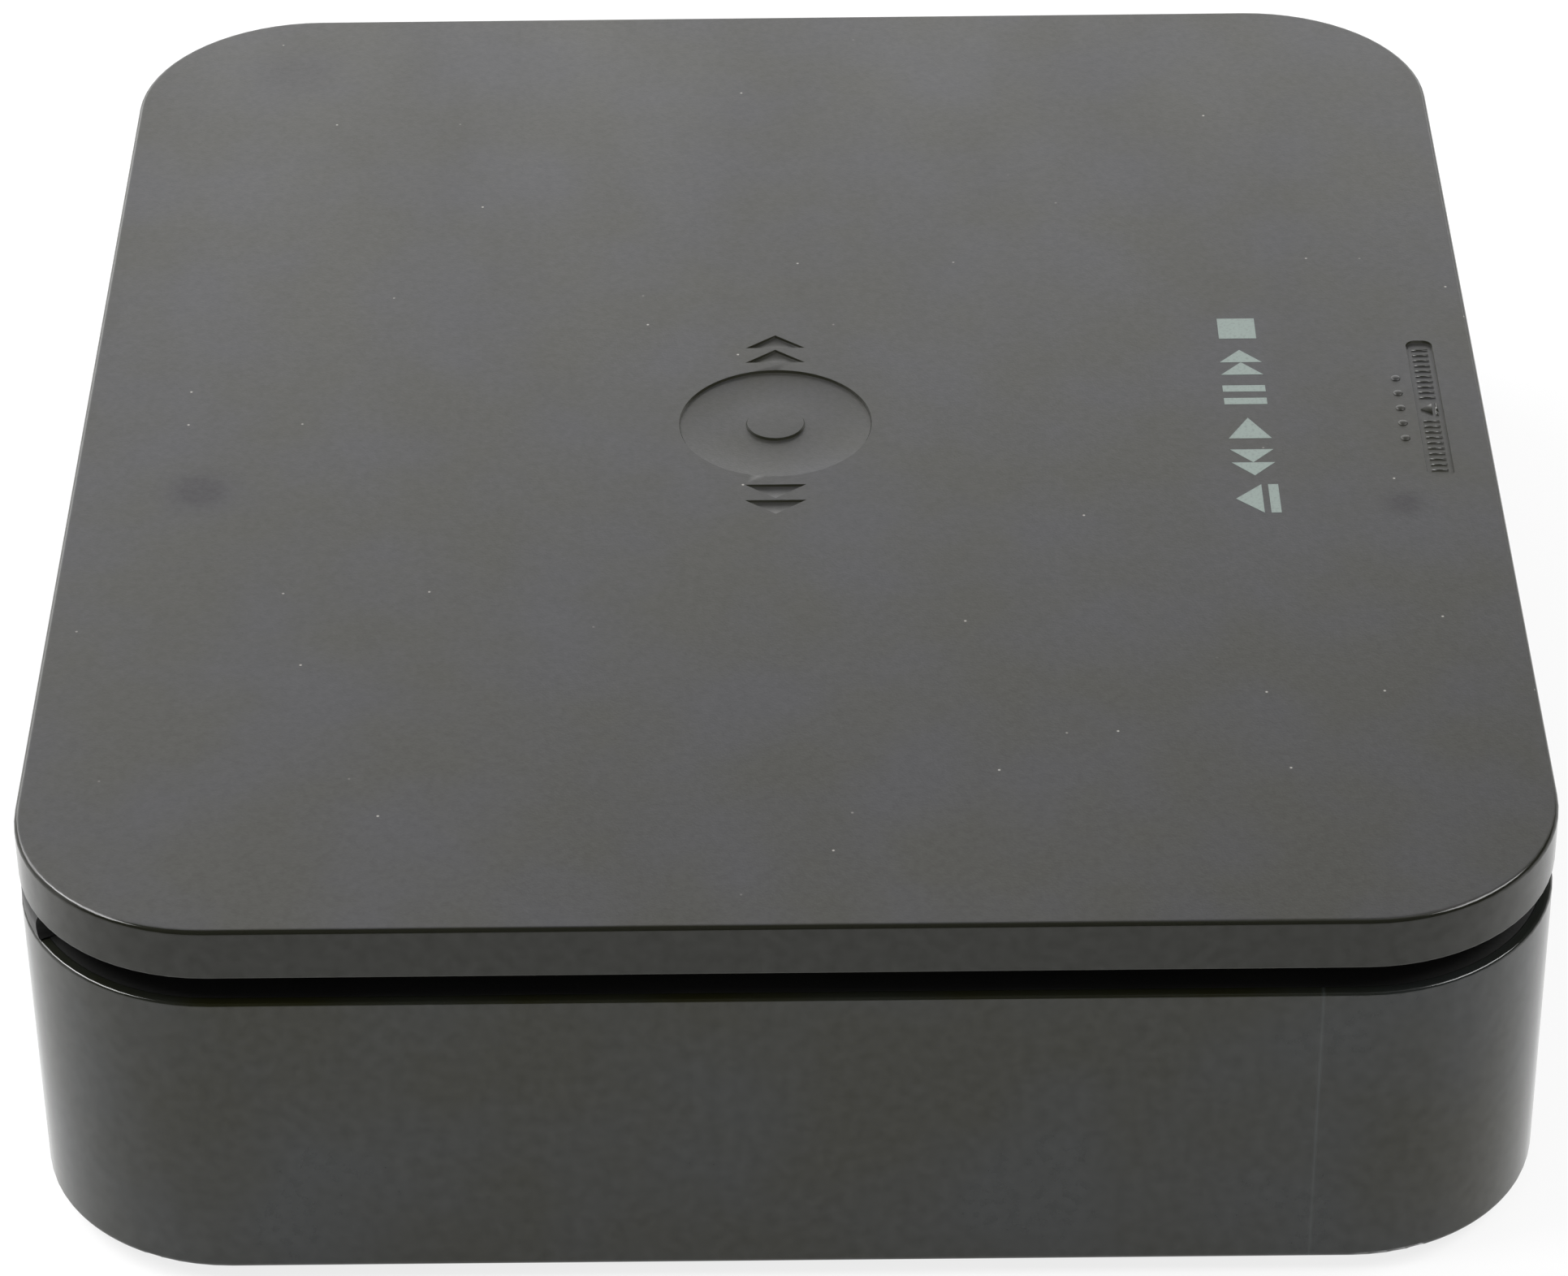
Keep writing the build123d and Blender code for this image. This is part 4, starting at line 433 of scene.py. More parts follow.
cut_mesh = bmesh.new()
cut_low = lid_top - sunk_depth
cut_high = lid_top + cut_above
cut_share = (sunk_depth + cut_above) / sunk_depth
strip_outline = rounded_outline(strip_middle, strip_size, strip_corner, 8)
plate(cut_mesh, strip_outline, cut_low, cut_high, -sunk_draft * cut_share)
disc_outer = 0.0115
disc_hub = 0.0036
ring(cut_mesh, sign_middle, disc_hub, disc_outer, cut_low, cut_high, -sign_draft * cut_share)
skip_half = 0.0034
skip_length = 0.0027
skip_starts = (0.0135, 0.0168)
for side in (-1, 1):
    for start in skip_starts:
        base = sign_middle[0] + side * start
        tip = sign_middle[0] + side * (start + skip_length)
        corners = [(base, sign_middle[1] - skip_half), (tip, sign_middle[1])]
        corners.append((base, sign_middle[1] + skip_half))
        if side < 0:
            corners.reverse()
        plate(cut_mesh, corners, cut_low, cut_high, -sunk_draft * cut_share)
cutter = shape_object("cutter", cut_mesh)

sign_mesh = bmesh.new()
open_half = 0.0011
open_y = strip_middle[1]
mark_root = 0.0001
mark_draft = 0.00003
mark_high = cut_low + rib_height
mark_low = cut_low - mark_root
plate(
    sign_mesh,
    [
        (strip_middle[0] - open_half * 1.1, open_y - open_half * 0.3),
        (strip_middle[0] + open_half * 1.1, open_y - open_half * 0.3),
        (strip_middle[0], open_y + open_half),
    ],
    mark_low,
    mark_high,
    0.00004,
)
bar = [(-1.1, -0.95), (1.1, -0.95), (1.1, -0.6), (-1.1, -0.6)]
plate(
    sign_mesh,
    [(strip_middle[0] + open_half * x, open_y + open_half * y) for x, y in bar],
    mark_low,
    mark_high,
    mark_draft,
)
rib_half = 0.0010
rib_thickness = 0.00022
rib_pitch = 0.00118
rib_start = 0.0026
rib_count = 10
for side in (-1, 1):
    for step in range(rib_count):
        x = strip_middle[0] + side * (rib_start + rib_pitch * step)
        rib = [(-1, -1), (1, -1), (1, 1), (-1, 1)]
        plate(
            sign_mesh,
            [(x + rib_thickness / 2 * a, open_y + rib_half * b) for a, b in rib],
            mark_low,
            mark_high,
            mark_draft,
        )
sign_tool = shape_object("sign_tool", sign_mesh)

lid_body = bmesh.new()
lid_body.from_mesh(nodes["lid_shell"].data)
bmesh.ops.remove_doubles(lid_body, verts=lid_body.verts, dist=0.000001)
lid_source = shape_object("lid_source", lid_body)
lid_source.data.shade_smooth()
lid_source.data.set_sharp_from_angle(angle=math.radians(35))
joined_solid(lid_source, cutter, "DIFFERENCE")
joined_solid(lid_source, sign_tool, "UNION")
level = lid_source.modifiers.new("level", "WEIGHTED_NORMAL")
level.weight = 100
lid_top_moulding = applied("lid_top_moulding", lid_source)
bpy.data.objects.remove(cutter)
bpy.data.objects.remove(sign_tool)


def satin_top(name):
    """Satin grain on the top and in what is sunk there, polish on the sides, finger marks, dust."""
    finish, tree, shader, place = start_finish(name, (0.022, 0.022, 0.0215), 0.45)
    split = tree.nodes.new("ShaderNodeSeparateXYZ")
    tree.links.new(place, split.inputs["Vector"])
    level = between(tree, split.outputs["Z"], 0.0, 1.0, lid_top - 0.00007, lid_top - 0.00001)
    under = between(tree, split.outputs["Z"], 1.0, 0.0, cut_low + 0.00002, cut_low + 0.00006)
    inside_rim = fades_from(tree, place, (0.0, 0.0, lid_top), (0.095, 0.082, 1.0))
    within = between(tree, inside_rim, 0.0, 1.0, 0.0, 0.00005)
    top = joined_by(tree, "MAXIMUM", level, joined_by(tree, "MULTIPLY", under, within))
    patches = between(tree, cloud(tree, place, 0.016, 4.0), 0.0, 1.0, 0.38, 0.66)
    satin = blend_colours(tree, patches, (0.0150, 0.0146, 0.0105), (0.0172, 0.0172, 0.0188))
    smudge = None
    for x, y, reach, strength in finger_marks:
        mark = fades_from(tree, place, (x, y, lid_top), (reach, reach, 0.01))
        mark = between(tree, mark, 0.0, strength, 0.0, 0.5)
        smudge = mark if smudge is None else joined_by(tree, "MAXIMUM", smudge, mark)
    satin = blend_colours(tree, smudge, satin, (0.006, 0.005, 0.007))
    cells = tree.nodes.new("ShaderNodeTexVoronoi")
    cells.voronoi_dimensions = "2D"
    cells.inputs["Scale"].default_value = 140.0
    tree.links.new(place, cells.inputs["Vector"])
    speck = between(tree, cells.outputs["Distance"], 1.0, 0.0, 0.012, 0.026)
    pick = tree.nodes.new("ShaderNodeSeparateColor")
    tree.links.new(cells.outputs["Color"], pick.inputs["Color"])
    chosen = between(tree, pick.outputs["Red"], 0.0, 0.75, 0.92, 0.97)
    dust = joined_by(tree, "MULTIPLY", speck, chosen)
    dusty = blend_colours(tree, dust, satin, (0.35, 0.34, 0.31))
    tinted = blend_colours(tree, top, (0.0100, 0.0103, 0.0068), dusty)
    tree.links.new(tinted, shader.inputs["Base Color"])
    mottle = between(tree, cloud(tree, place, 0.0008, 5.0), 0.45, 0.55)
    dulled = joined_by(tree, "SUBTRACT", mottle, joined_by(tree, "MULTIPLY", smudge, 0.07))
    shine = tree.nodes.new("ShaderNodeMix")
    shine.data_type = "FLOAT"
    tree.links.new(top, shine.inputs["Factor"])
    tree.links.new(between(tree, cloud(tree, place, 0.0015, 6.0), 0.32, 0.43), shine.inputs[2])
    tree.links.new(dulled, shine.inputs[3])
    tree.links.new(shine.outputs[0], shader.inputs["Specular IOR Level"])
    rough_top = between(tree, cloud(tree, place, 0.02, 3.0, (3.0, 1.0, 1.0)), 0.40, 0.47)
    blur = tree.nodes.new("ShaderNodeMix")
    blur.data_type = "FLOAT"
    tree.links.new(top, blur.inputs["Factor"])
    blur.inputs[2].default_value = 0.14
    tree.links.new(rough_top, blur.inputs[3])
    tree.links.new(blur.outputs[0], shader.inputs["Roughness"])
    grain = joined_by(tree, "MULTIPLY", cloud(tree, place, 0.00028, 1.0), top)
    relief(tree, shader, grain, 0.000009)
    return finish


lid_satin = satin_top("lid_satin")
lid_top_moulding.data.materials.clear()
lid_top_moulding.data.materials.append(lid_satin)
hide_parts("lid_shell")
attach(lid_top_moulding, "lid")


# Five moulded dots in a row tell a thumb where to push. They are one with the lid, each a low
# dome of the same satin plastic, a little over a millimetre across.
def number_input(tree, name, kind, value):
    """Adds a named input for a size, and gives its identifier."""
    made = tree.interface.new_socket(name=name, in_out="INPUT", socket_type=kind)
    made.default_value = value
    return made.identifier


def new_tree(name, sizes):
    """A tree with its named sizes, its group input and output, and the sizes' identifiers."""
    tree = bpy.data.node_groups.new(name, "GeometryNodeTree")
    tree.interface.new_socket(name="Geometry", in_out="INPUT", socket_type="NodeSocketGeometry")
    tree.interface.new_socket(name="Geometry", in_out="OUTPUT", socket_type="NodeSocketGeometry")
    keys = {label: number_input(tree, label, kind, value) for label, kind, value in sizes}
    start = tree.nodes.new("NodeGroupInput")
    end = tree.nodes.new("NodeGroupOutput")
    return tree, start, end, keys


def end_tree(tree, end, instances, finish):
    """Realizes the instances and gives them their finish."""
    real = tree.nodes.new("GeometryNodeRealizeInstances")
    paint = tree.nodes.new("GeometryNodeSetMaterial")
    paint.inputs["Material"].default_value = finish
    tree.links.new(instances, real.inputs["Geometry"])
    tree.links.new(real.outputs["Geometry"], paint.inputs["Geometry"])
    tree.links.new(paint.outputs["Geometry"], end.inputs["Geometry"])


def grown(name, tree, keys, sizes):
    """A plain mesh object from the tree, run on an empty mesh with those sizes."""
    seed = bpy.data.objects.new(name + "_seed", bpy.data.meshes.new(name + "_seed"))
    bpy.context.scene.collection.objects.link(seed)
    modifier = seed.modifiers.new(name, "NODES")
    modifier.node_group = tree
    for label, value in sizes.items():
        modifier[keys[label]] = value
    return applied(name, seed)


dot_count = 5
dot_pitch = 0.0033
dot_radius = 0.0006
dot_rise = 0.00021
dot_first = (strip_middle[0] - 0.0067, -0.0748, lid_top)
dot_tree, dot_in, dot_end, dot_keys = new_tree(
    "touch_dot_row",
    (
        ("Count", "NodeSocketInt", dot_count),
        ("Pitch", "NodeSocketVector", (dot_pitch, 0.0, 0.0)),
        ("First", "NodeSocketVector", (0.0, 0.0, 0.0)),
        ("Radius", "NodeSocketFloat", dot_radius),
        ("Shape", "NodeSocketVector", (1.0, 1.0, 0.5)),
    ),
)
dot_line = dot_tree.nodes.new("GeometryNodeMeshLine")
dot_ball = dot_tree.nodes.new("GeometryNodeMeshUVSphere")
dot_ball.inputs["Segments"].default_value = 24
dot_ball.inputs["Rings"].default_value = 14
dot_smooth = dot_tree.nodes.new("GeometryNodeSetShadeSmooth")
dot_spread = dot_tree.nodes.new("GeometryNodeInstanceOnPoints")
for label, socket in (
    ("Count", dot_line.inputs["Count"]),
    ("Pitch", dot_line.inputs["Offset"]),
    ("First", dot_line.inputs["Start Location"]),
    ("Radius", dot_ball.inputs["Radius"]),
    ("Shape", dot_spread.inputs["Scale"]),
):
    dot_tree.links.new(dot_in.outputs[label], socket)
dot_tree.links.new(dot_ball.outputs["Mesh"], dot_smooth.inputs["Geometry"])
dot_tree.links.new(dot_line.outputs["Mesh"], dot_spread.inputs["Points"])
dot_tree.links.new(dot_smooth.outputs["Geometry"], dot_spread.inputs["Instance"])
end_tree(dot_tree, dot_end, dot_spread.outputs["Instances"], lid_satin)
touch_dots = grown(
    "touch_dots",
    dot_tree,
    dot_keys,
    {
        "Count": dot_count,
        "Pitch": (dot_pitch, 0.0, 0.0),
        "First": dot_first,
        "Radius": dot_radius,
        "Shape": (1.0, 1.0, dot_rise / dot_radius),
    },
)
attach(touch_dots, "lid")

# A row of plain transport signs is pad-printed on the lid in pale grey ink: open, back, play,
# pause, forward and stop. The ink is a film too thin to feel, worn thin in small spots.
ink_rise = 0.000018
ink_depth = 0.00002
ink_top = lid_top + ink_rise
ink_bottom = lid_top - ink_depth
sign_row_x = 0.0003
sign_row_y = -0.05615
sign_half = 0.0026


def ink(name, colour):
    """Printing ink, thin in small spots."""
    finish, tree, shader, place = start_finish(name, colour, 0.5)
    worn = between(tree, cloud(tree, place, 0.0004, 3.0), 0.0, 0.55, 0.5, 0.75)
    thin = tuple(part * 0.55 for part in colour)
    tree.links.new(blend_colours(tree, worn, colour, thin), shader.inputs["Base Color"])
    relief(tree, shader, cloud(tree, place, 0.00015, 2.0), 0.000003)
    return finish


def triangle(x, reach, half):
    """A triangle that points to the reach's side."""
    corners = [(x, -half), (x + reach, 0.0), (x, half)]
    return corners if reach > 0 else list(reversed(corners))


def upright(x, width, half):
    """A bar."""
    return [(x, -half), (x + width, -half), (x + width, half), (x, half)]


open_arrow = [(-0.0030, -0.0006), (0.0030, -0.0006), (0.0, 0.0026)]
open_bar = [(-0.0030, -0.0026), (0.0030, -0.0026), (0.0030, -0.0014), (-0.0030, -0.0014)]
transport_signs = (
    [open_arrow, open_bar],
    [triangle(0.0002, -0.0028, sign_half), triangle(0.0030, -0.0028, sign_half)],
    [triangle(-0.0021, 0.0045, sign_half)],
    [upright(-0.0021, 0.0014, sign_half), upright(0.0007, 0.0014, sign_half)],
    [triangle(-0.0030, 0.0028, sign_half), triangle(-0.0002, 0.0028, sign_half)],
    [upright(-0.0023, 0.0046, 0.0023)],
)
sign_pitch = 0.0075
printed = bmesh.new()
for index, parts in enumerate(transport_signs):
    middle = (index - (len(transport_signs) - 1) / 2) * sign_pitch + sign_row_x
    for part in parts:
        plate(printed, [(x + middle, y + sign_row_y) for x, y in part], ink_bottom, ink_top)
printed_signs = shape_object("printed_signs", printed)
printed_signs.data.materials.append(ink("pale_ink", (0.150, 0.184, 0.169)))
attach(printed_signs, "lid")

# Under the lid a liner closes the moulding, with a guard ring over the disc. Liner and deck are
# black plastic with a fine leathery grain that hides dust.
deck_grain = moulded("deck_grain", (0.016, 0.016, 0.0155), 0.42, 0.0005, 0.00003, 0.1, 0.06)
dress(deck_grain, "deck", "lid_liner")

# Small black mouldings inside the player are plain polyamide and acetal with a dull surface, as
# the latch's housing, the switch, the turntable and the pickup's cover.
plain_black = moulded("plain_black", (0.022, 0.022, 0.023), 0.36, 0.0007, 0.00001, 0.12, 0.06)
dress(plain_black, "latch_housing", "latch_striker", "lid_switch_body", "phono_block")
dress(plain_black, "power_socket", "tact_switches", "turntable", "hub_cap")
dress(plain_black, "pickup_cover", "lens_holder")

# Sliding and meshing parts are natural acetal, milky white and waxy: the latch's slider and
# jaws, the hub's three claws, and the feed's gear, pinion and rack.
natural_acetal = moulded("natural_acetal", (0.70, 0.69, 0.62), 0.34, 0.0012, 0.000004, 0.05, 0.05)
acetal_shader = natural_acetal.node_tree.nodes["Principled BSDF"]
acetal_shader.inputs["Subsurface Weight"].default_value = 0.15
acetal_shader.inputs["Subsurface Scale"].default_value = 0.001
acetal_shader.inputs["Subsurface Radius"].default_value = (1.0, 0.9, 0.7)
dress(natural_acetal, "latch_slider", "latch_jaw_left", "latch_jaw_right")
dress(natural_acetal, "hub_claw_1", "hub_claw_2", "hub_claw_3")
dress(natural_acetal, "feed_gear", "feed_pinion", "pickup_rack")


# Feet and lid stops are pressed-in black rubber. Dust greys the feet, and the dampers under the
# drive are a softer grey rubber, as is the turntable's mat.
def rubber(name, colour, roughness):
    """Dull rubber with a fine skin, greyed by dust in patches."""
    finish, tree, shader, place = start_finish(name, colour, roughness)
    dusty = tuple(part * 1.6 + 0.006 for part in colour)
    patches = between(tree, cloud(tree, place, 0.004, 5.0), 0.0, 1.0, 0.45, 0.7)
    tree.links.new(blend_colours(tree, patches, colour, dusty), shader.inputs["Base Color"])
    skin = between(tree, cloud(tree, place, 0.002, 4.0), roughness - 0.08, roughness + 0.08)
    tree.links.new(skin, shader.inputs["Roughness"])
    shader.inputs["Specular IOR Level"].default_value = 0.35
    relief(tree, shader, cloud(tree, place, 0.0002, 3.0), 0.00001)
    return finish


dress(rubber("foot_rubber", (0.018, 0.018, 0.017), 0.72), "rubber_feet", "lid_bumpers")
dress(rubber("damper_rubber", (0.07, 0.07, 0.075), 0.66), "dampers", "turntable_mat")


# Screws are black zinc plated, pins and rods ground bright, springs drawn wire, and the drive's
# frame and motor caps are pressed from galvanised sheet with its faint frost.
def metal(name, colour, roughness, mark=0.0006, stretch=(1.0, 1.0, 1.0), depth=0.000002, spread=0.1):
    """Metal with working marks of that size, drawn out along an axis."""
    finish, tree, shader, place = start_finish(name, colour, roughness, 1.0)
    darker = tuple(part * (1.0 - spread) for part in colour)
    lighter = tuple(min(1.0, part * (1.0 + spread)) for part in colour)
    patches = between(tree, cloud(tree, place, mark * 9, 3.0, stretch), 0.0, 1.0)
    tree.links.new(blend_colours(tree, patches, darker, lighter), shader.inputs["Base Color"])
    marks = cloud(tree, place, mark, 3.0, stretch)
    worn = between(tree, marks, roughness * 0.75, roughness * 1.25)
    tree.links.new(worn, shader.inputs["Roughness"])
    relief(tree, shader, marks, depth)
    return finish


black_zinc = metal("black_zinc", (0.16, 0.16, 0.17), 0.38)
dress(black_zinc, "case_screws", "inner_screws", "chassis_screws", "liner_screws")
ground_steel = metal("ground_steel", (0.60, 0.60, 0.60), 0.16, 0.0002, (12.0, 1.0, 1.0))
dress(ground_steel, "hinge_pins", "guide_rods", "lid_switch_lever", "actuator_yoke")
dress(metal("spring_wire", (0.45, 0.45, 0.46), 0.28, 0.0002), "lid_springs", "latch_spring")


def frosted_sheet():
    """Galvanised sheet: flakes several millimetres across, their different tilt painted as lighter
    and darker tone.
    """
    finish, tree, shader, place = start_finish("galvanised_sheet", (0.56, 0.57, 0.57), 0.35, 1.0)
    flakes = tree.nodes.new("ShaderNodeTexVoronoi")
    flakes.inputs["Scale"].default_value = 260.0
    tree.links.new(place, flakes.inputs["Vector"])
    tint = tree.nodes.new("ShaderNodeSeparateColor")
    tree.links.new(flakes.outputs["Color"], tint.inputs["Color"])
    tone = between(tree, tint.outputs["Red"], 0.0, 1.0, 0.0, 1.0)
    # Painted reflection: each flake's tilt is painted into its colour as a lighter or darker tone.
    painted_flake_sheen = blend_colours(tree, tone, (0.48, 0.49, 0.49), (0.62, 0.63, 0.63))
    tree.links.new(painted_flake_sheen, shader.inputs["Base Color"])
    dulling = between(tree, tint.outputs["Green"], 0.26, 0.42, 0.0, 1.0)
    tree.links.new(dulling, shader.inputs["Roughness"])
    relief(tree, shader, cloud(tree, place, 0.0004, 3.0), 0.000004)
    return finish


dress(frosted_sheet(), "mech_chassis", "spindle_motor")
drawn_can = metal("drawn_can", (0.52, 0.52, 0.54), 0.24, 0.0003, (1.0, 1.0, 8.0))
dress(drawn_can, "feed_motor", "spindle_rotor")

# The pickup rides on a die-cast sled of zinc alloy with a grey, slightly pitted skin. Its laser
# sits in a gilt can at the side, and a clear moulded lens with a blue coating looks upwards.
cast_zinc = metal("cast_zinc", (0.40, 0.40, 0.42), 0.48, 0.0008, depth=0.00002, spread=0.16)
dress(cast_zinc, "pickup_body")
dress(metal("gilt_brass", (0.78, 0.58, 0.28), 0.2, 0.0003), "laser_diode")


def coated_lens():
    """Clear plastic whose coating drifts from blue to violet."""
    finish, tree, shader, place = start_finish("coated_lens", (0.50, 0.62, 0.95), 0.03)
    shader.inputs["Transmission Weight"].default_value = 0.85
    shader.inputs["IOR"].default_value = 1.6
    drift = between(tree, cloud(tree, place, 0.002, 2.0), 0.0, 1.0)
    tinted = blend_colours(tree, drift, (0.42, 0.55, 0.95), (0.62, 0.58, 0.95))
    tree.links.new(tinted, shader.inputs["Base Color"])
    return finish


dress(coated_lens(), "objective_lens")


# A flat film cable of amber polyimide joins the pickup to the board. Its copper lines run the
# whole length under the film, with a stiffener at each end.
def film_cable():
    """Amber film with fine darker copper lines along it."""
    finish, tree, shader, place = start_finish("amber_film", (0.55, 0.24, 0.04), 0.25)
    lines = tree.nodes.new("ShaderNodeTexWave")
    lines.wave_type = "BANDS"
    lines.bands_direction = "Y"
    lines.inputs["Scale"].default_value = 320.0
    tree.links.new(place, lines.inputs["Vector"])
    copper = between(tree, lines.outputs["Fac"], 0.0, 1.0, 0.35, 0.65)
    striped = blend_colours(tree, copper, (0.60, 0.27, 0.05), (0.34, 0.13, 0.03))
    tree.links.new(striped, shader.inputs["Base Color"])
    shader.inputs["Coat Weight"].default_value = 0.3
    relief(tree, shader, lines.outputs["Fac"], 0.000015)
    return finish


dress(film_cable(), "pickup_ribbon")


# The main board and the front board are glass fibre under green lacquer, with runs of copper
# just visible below it. Black chips and aluminium cans are soldered on top.
def lacquered_board():
    """Green lacquer over copper runs that go one way in some patches and across in others."""
    finish, tree, shader, place = start_finish("green_lacquer", (0.02, 0.12, 0.05), 0.3)
    masks = []
    for direction in ("X", "Y"):
        runs = tree.nodes.new("ShaderNodeTexWave")
        runs.wave_type = "BANDS"
        runs.bands_direction = direction
        runs.inputs["Scale"].default_value = 260.0
        tree.links.new(place, runs.inputs["Vector"])
        masks.append(between(tree, runs.outputs["Fac"], 0.0, 1.0, 0.55, 0.65))
    patches = between(tree, cloud(tree, place, 0.014, 0.0), 0.0, 1.0, 0.49, 0.51)
    either = tree.nodes.new("ShaderNodeMix")
    either.data_type = "FLOAT"
    tree.links.new(patches, either.inputs["Factor"])
    tree.links.new(masks[0], either.inputs[2])
    tree.links.new(masks[1], either.inputs[3])
    lacquer = blend_colours(tree, either.outputs[0], (0.015, 0.095, 0.04), (0.035, 0.19, 0.07))
    tree.links.new(lacquer, shader.inputs["Base Color"])
    relief(tree, shader, either.outputs[0], 0.00002)
    return finish


dress(lacquered_board(), "main_board", "front_board")
chip_black = moulded("chip_black", (0.02, 0.02, 0.02), 0.5, 0.00025, 0.00001, 0.1, 0.05)
dress(chip_black, "board_chips")
dress(metal("can_sleeve", (0.62, 0.62, 0.64), 0.3, 0.0004, (1.0, 1.0, 6.0)), "board_capacitors")

# Small resistors with tinned ends are scattered over the board between the chips. Each is a
# ceramic block under two millimetres long.
resistor_size = (0.0011, 0.0008, 0.0005)
resistor_lift = 0.00022
end_size = (0.0003, 0.00084, 0.00054)
end_middle = 0.0007
chip_tin = metal("tinned_end", (0.66, 0.66, 0.64), 0.3, 0.0002)
resistor_body = moulded("resistor_body", (0.035, 0.03, 0.028), 0.4, 0.0004, 0.000004)
part_tree, part_in, part_end, part_keys = new_tree(
    "small_board_parts",
    (
        ("Width", "NodeSocketFloat", 0.02),
        ("Depth", "NodeSocketFloat", 0.02),
        ("Middle", "NodeSocketVector", (0.0, 0.0, 0.0)),
        ("Columns", "NodeSocketInt", 5),
        ("Rows", "NodeSocketInt", 5),
        ("Seed", "NodeSocketInt", 3),
    ),
)
part_grid = part_tree.nodes.new("GeometryNodeMeshGrid")
part_move = part_tree.nodes.new("GeometryNodeTransform")
part_thin = part_tree.nodes.new("GeometryNodeDeleteGeometry")
part_chance = part_tree.nodes.new("FunctionNodeRandomValue")
part_chance.data_type = "BOOLEAN"
part_chance.inputs["Probability"].default_value = 0.35
part_body = part_tree.nodes.new("GeometryNodeMeshCube")
part_body.inputs["Size"].default_value = resistor_size
part_body_paint = part_tree.nodes.new("GeometryNodeSetMaterial")
part_body_paint.inputs["Material"].default_value = resistor_body
part_both = part_tree.nodes.new("GeometryNodeJoinGeometry")
for end_x in (-end_middle, end_middle):
    cap = part_tree.nodes.new("GeometryNodeMeshCube")
    cap.inputs["Size"].default_value = end_size
    cap_move = part_tree.nodes.new("GeometryNodeTransform")
    cap_move.inputs["Translation"].default_value = (end_x, 0.0, 0.0)
    cap_paint = part_tree.nodes.new("GeometryNodeSetMaterial")
    cap_paint.inputs["Material"].default_value = chip_tin
    part_tree.links.new(cap.outputs["Mesh"], cap_move.inputs["Geometry"])
    part_tree.links.new(cap_move.outputs["Geometry"], cap_paint.inputs["Geometry"])
    part_tree.links.new(cap_paint.outputs["Geometry"], part_both.inputs["Geometry"])
part_spread = part_tree.nodes.new("GeometryNodeInstanceOnPoints")
part_real = part_tree.nodes.new("GeometryNodeRealizeInstances")
for label, socket in (
    ("Width", part_grid.inputs["Size X"]),
    ("Depth", part_grid.inputs["Size Y"]),
    ("Columns", part_grid.inputs["Vertices X"]),
    ("Rows", part_grid.inputs["Vertices Y"]),
    ("Middle", part_move.inputs["Translation"]),
    ("Seed", part_chance.inputs["Seed"]),
):
    part_tree.links.new(part_in.outputs[label], socket)
part_tree.links.new(part_grid.outputs["Mesh"], part_move.inputs["Geometry"])
part_tree.links.new(part_move.outputs["Geometry"], part_thin.inputs["Geometry"])
part_tree.links.new(part_chance.outputs[3], part_thin.inputs["Selection"])
part_tree.links.new(part_body.outputs["Mesh"], part_body_paint.inputs["Geometry"])
part_tree.links.new(part_body_paint.outputs["Geometry"], part_both.inputs["Geometry"])
part_tree.links.new(part_thin.outputs["Geometry"], part_spread.inputs["Points"])
part_tree.links.new(part_both.outputs["Geometry"], part_spread.inputs["Instance"])
part_tree.links.new(part_spread.outputs["Instances"], part_real.inputs["Geometry"])
part_tree.links.new(part_real.outputs["Geometry"], part_end.inputs["Geometry"])
board_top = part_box("main_board")[1].z
board_parts = grown(
    "board_parts",
    part_tree,
    part_keys,
    {
        "Width": 0.030,
        "Depth": 0.044,
        "Middle": (-0.045, -0.005, board_top + resistor_lift),
        "Columns": 7,
        "Rows": 9,
        "Seed": 5,
    },
)
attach(board_parts, "root")

# At the back, plated sleeves stand round a yellow, a white and a red insert, beside a folded
# nickel shell and a black power socket. All are glossy from the mould or bright from the bath.
nickel_colour = (0.66, 0.64, 0.60)
dress(metal("nickel_plate", nickel_colour, 0.18, 0.0005, spread=0.05), "phono_sleeves")


def socket_finish(name, middle, half):
    """Nickel plate, with black plastic in its place on the tongue, a box of that half size."""
    finish = metal(name, nickel_colour, 0.18, 0.0005, spread=0.05)
    tree = finish.node_tree
    shader = tree.nodes["Principled BSDF"]
    place = tree.nodes.new("ShaderNodeTexCoord").outputs["Object"]
    for operation, value in (("SUBTRACT", middle), ("ABSOLUTE", None), ("DIVIDE", half)):
        step = tree.nodes.new("ShaderNodeVectorMath")
        step.operation = operation
        if value is not None:
            step.inputs[1].default_value = value
        tree.links.new(place, step.inputs[0])
        place = step.outputs["Vector"]
    split = tree.nodes.new("ShaderNodeSeparateXYZ")
    tree.links.new(place, split.inputs["Vector"])
    farthest = joined_by(tree, "MAXIMUM", split.outputs["X"], split.outputs["Z"])
    tongue = joined_by(tree, "LESS_THAN", farthest, 1.0)
    plated = shader.inputs["Base Color"].links[0].from_socket
    tongued = blend_colours(tree, tongue, plated, (0.02, 0.02, 0.02))
    tree.links.new(tongued, shader.inputs["Base Color"])
    tree.links.new(between(tree, tongue, 1.0, 0.0, 0.0, 1.0), shader.inputs["Metallic"])
    return finish


# Each socket's name, its tongue's width and height, and how far below the shell's top that lies.
tongue_margin = 0.0001
for socket, tongue_width, tongue_height, drop in (
    ("video_socket", 0.010, 0.0010, 0.0030),
    ("media_socket", 0.011, 0.0018, 0.0018),
):
    socket_low, socket_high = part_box(socket)
    tongue_middle = ((socket_low.x + socket_high.x) / 2, 0.0, socket_high.z - drop)
    tongue_half = (tongue_width / 2 + tongue_margin, 1.0, tongue_height / 2 + tongue_margin)
    dress(socket_finish(socket + "_plate", tongue_middle, tongue_half), socket)
for colour_name, colour in (
    ("yellow", (0.80, 0.55, 0.03)),
    ("white", (0.78, 0.78, 0.75)),
    ("red", (0.52, 0.02, 0.015)),
):
    insert = moulded("insert_" + colour_name, colour, 0.25, 0.0008, 0.000002, 0.06, 0.05)
    dress(insert, "phono_insert_" + colour_name)


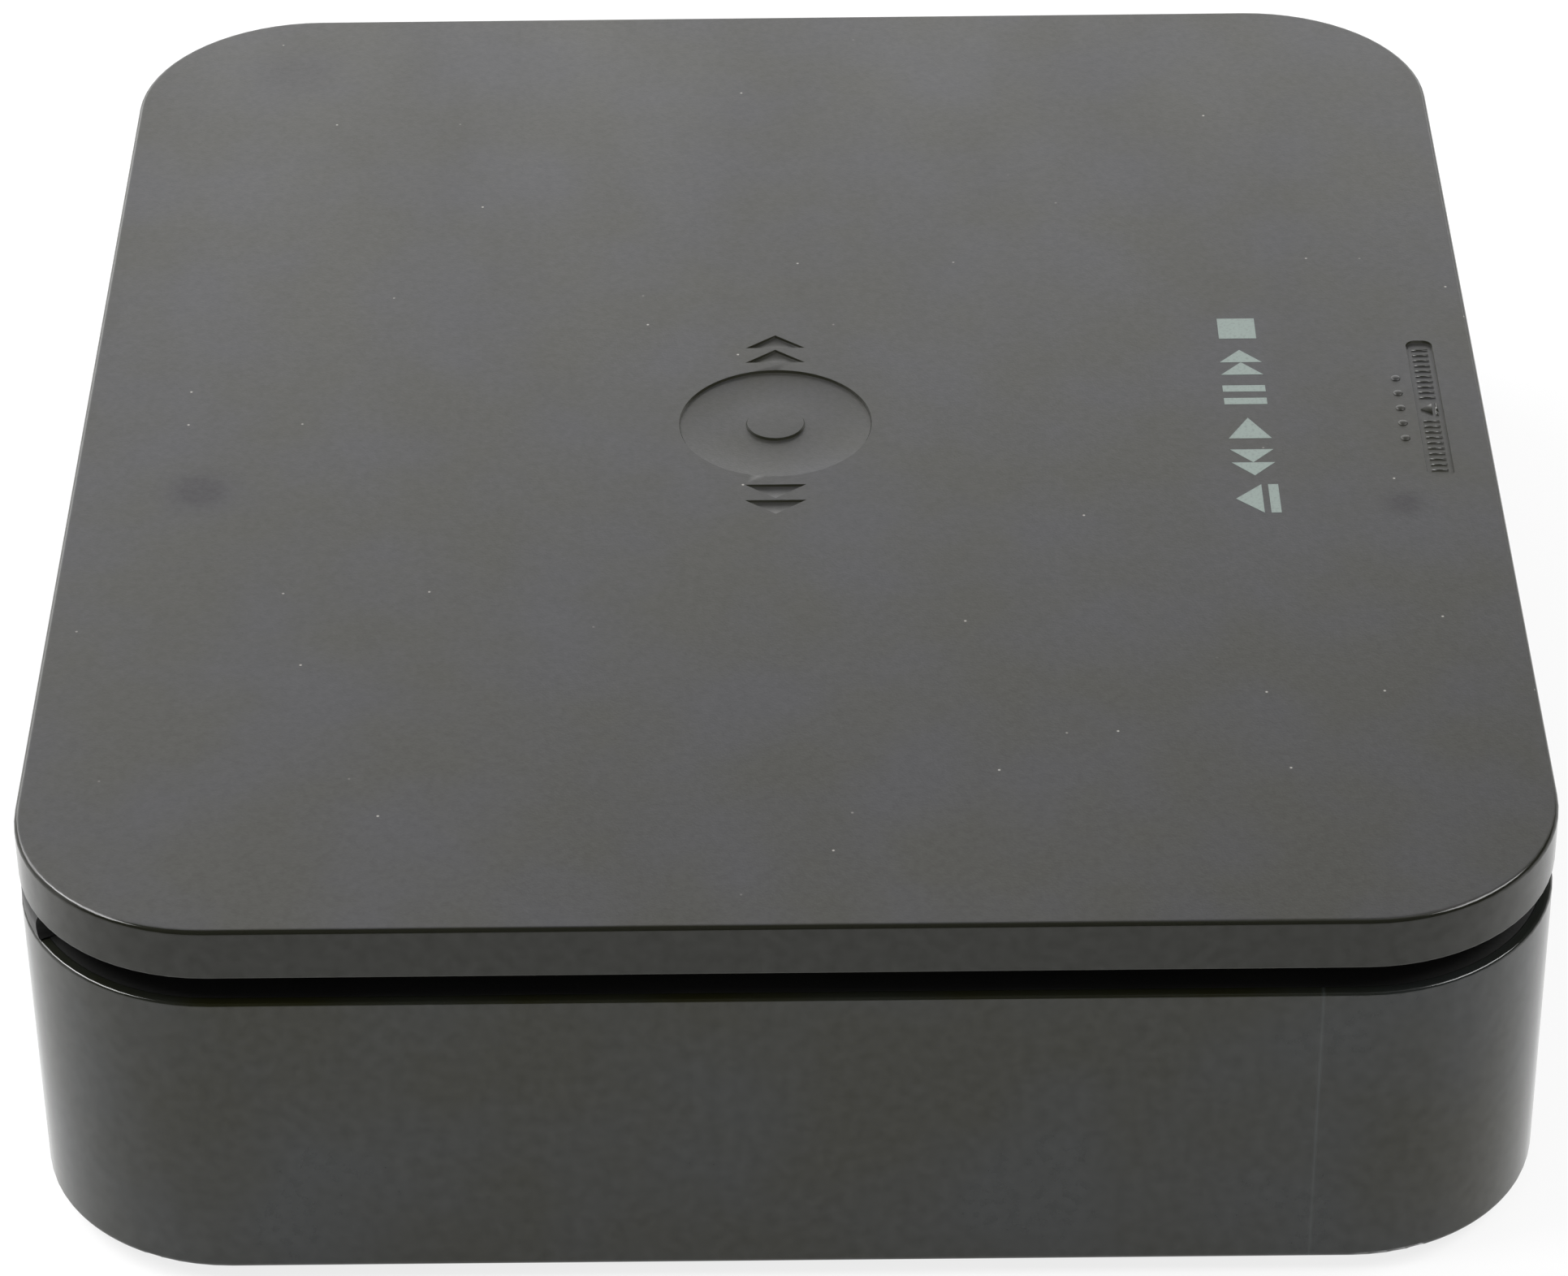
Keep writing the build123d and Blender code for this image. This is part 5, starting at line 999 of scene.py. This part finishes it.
# The front holds a dark red window over the lamp and the remote's receiver, and three keys of
# the case's own glossy black with a printed sign on each: standby, play and stop.
def window_acrylic():
    """Dark red acrylic, wiped a little dull in spots."""
    finish, tree, shader, place = start_finish("window_acrylic", (0.03, 0.003, 0.005), 0.06)
    wipe = between(tree, cloud(tree, place, 0.004, 4.0), 0.04, 0.11)
    tree.links.new(wipe, shader.inputs["Roughness"])
    shader.inputs["Coat Weight"].default_value = 0.4
    return finish


dress(window_acrylic(), "status_window")
dress(moulded("smoked_resin", (0.04, 0.035, 0.05), 0.12, 0.001, 0.000002), "remote_receiver")
dress(case_gloss, "standby_button", "play_button", "stop_button")
key_ink = ink("key_ink", (0.50, 0.50, 0.48))


def key_sign(name, node, body, outlines):
    """Flat signs printed on a key's face. The outlines go right and up from its middle."""
    low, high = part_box(node)
    middle = (low + high) / 2
    mesh = bmesh.new()
    for outline in outlines:
        plate(mesh, outline, -ink_depth, ink_rise)
    bmesh.ops.rotate(mesh, verts=mesh.verts, matrix=Matrix.Rotation(math.pi / 2, 3, "X"))
    bmesh.ops.translate(mesh, verts=mesh.verts, vec=(middle.x, low.y, middle.z))
    made = shape_object(name, mesh)
    made.data.materials.append(key_ink)
    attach(made, body)


def arc_strip(radius, width, start, stop, steps):
    """Short plates that follow an arc, from one angle to another, in degrees."""
    strips = []
    for step in range(steps):
        angles = [math.radians(start + (stop - start) * (step + k) / steps) for k in (0, 1)]
        inner = [((radius - width) * math.cos(a), (radius - width) * math.sin(a)) for a in angles]
        outer = [(radius * math.cos(a), radius * math.sin(a)) for a in angles]
        strips.append([inner[0], outer[0], outer[1], inner[1]])
    return strips


# Each key's sign says what it does without words: a broken ring with a bar is standby, a
# triangle plays and a square stops.
standby_outlines = arc_strip(0.00105, 0.00028, 120, 420, 20)
standby_bar = upright(-0.00014, 0.00028, 0.0006)
standby_outlines.append([(x, y + 0.0007) for x, y in standby_bar])
key_sign("standby_sign", "standby_button", "standby_button", standby_outlines)
key_sign("play_sign", "play_button", "play_button", [triangle(-0.0008, 0.0018, 0.0010)])
key_sign("stop_sign", "stop_button", "stop_button", [upright(-0.0009, 0.0018, 0.0009)])
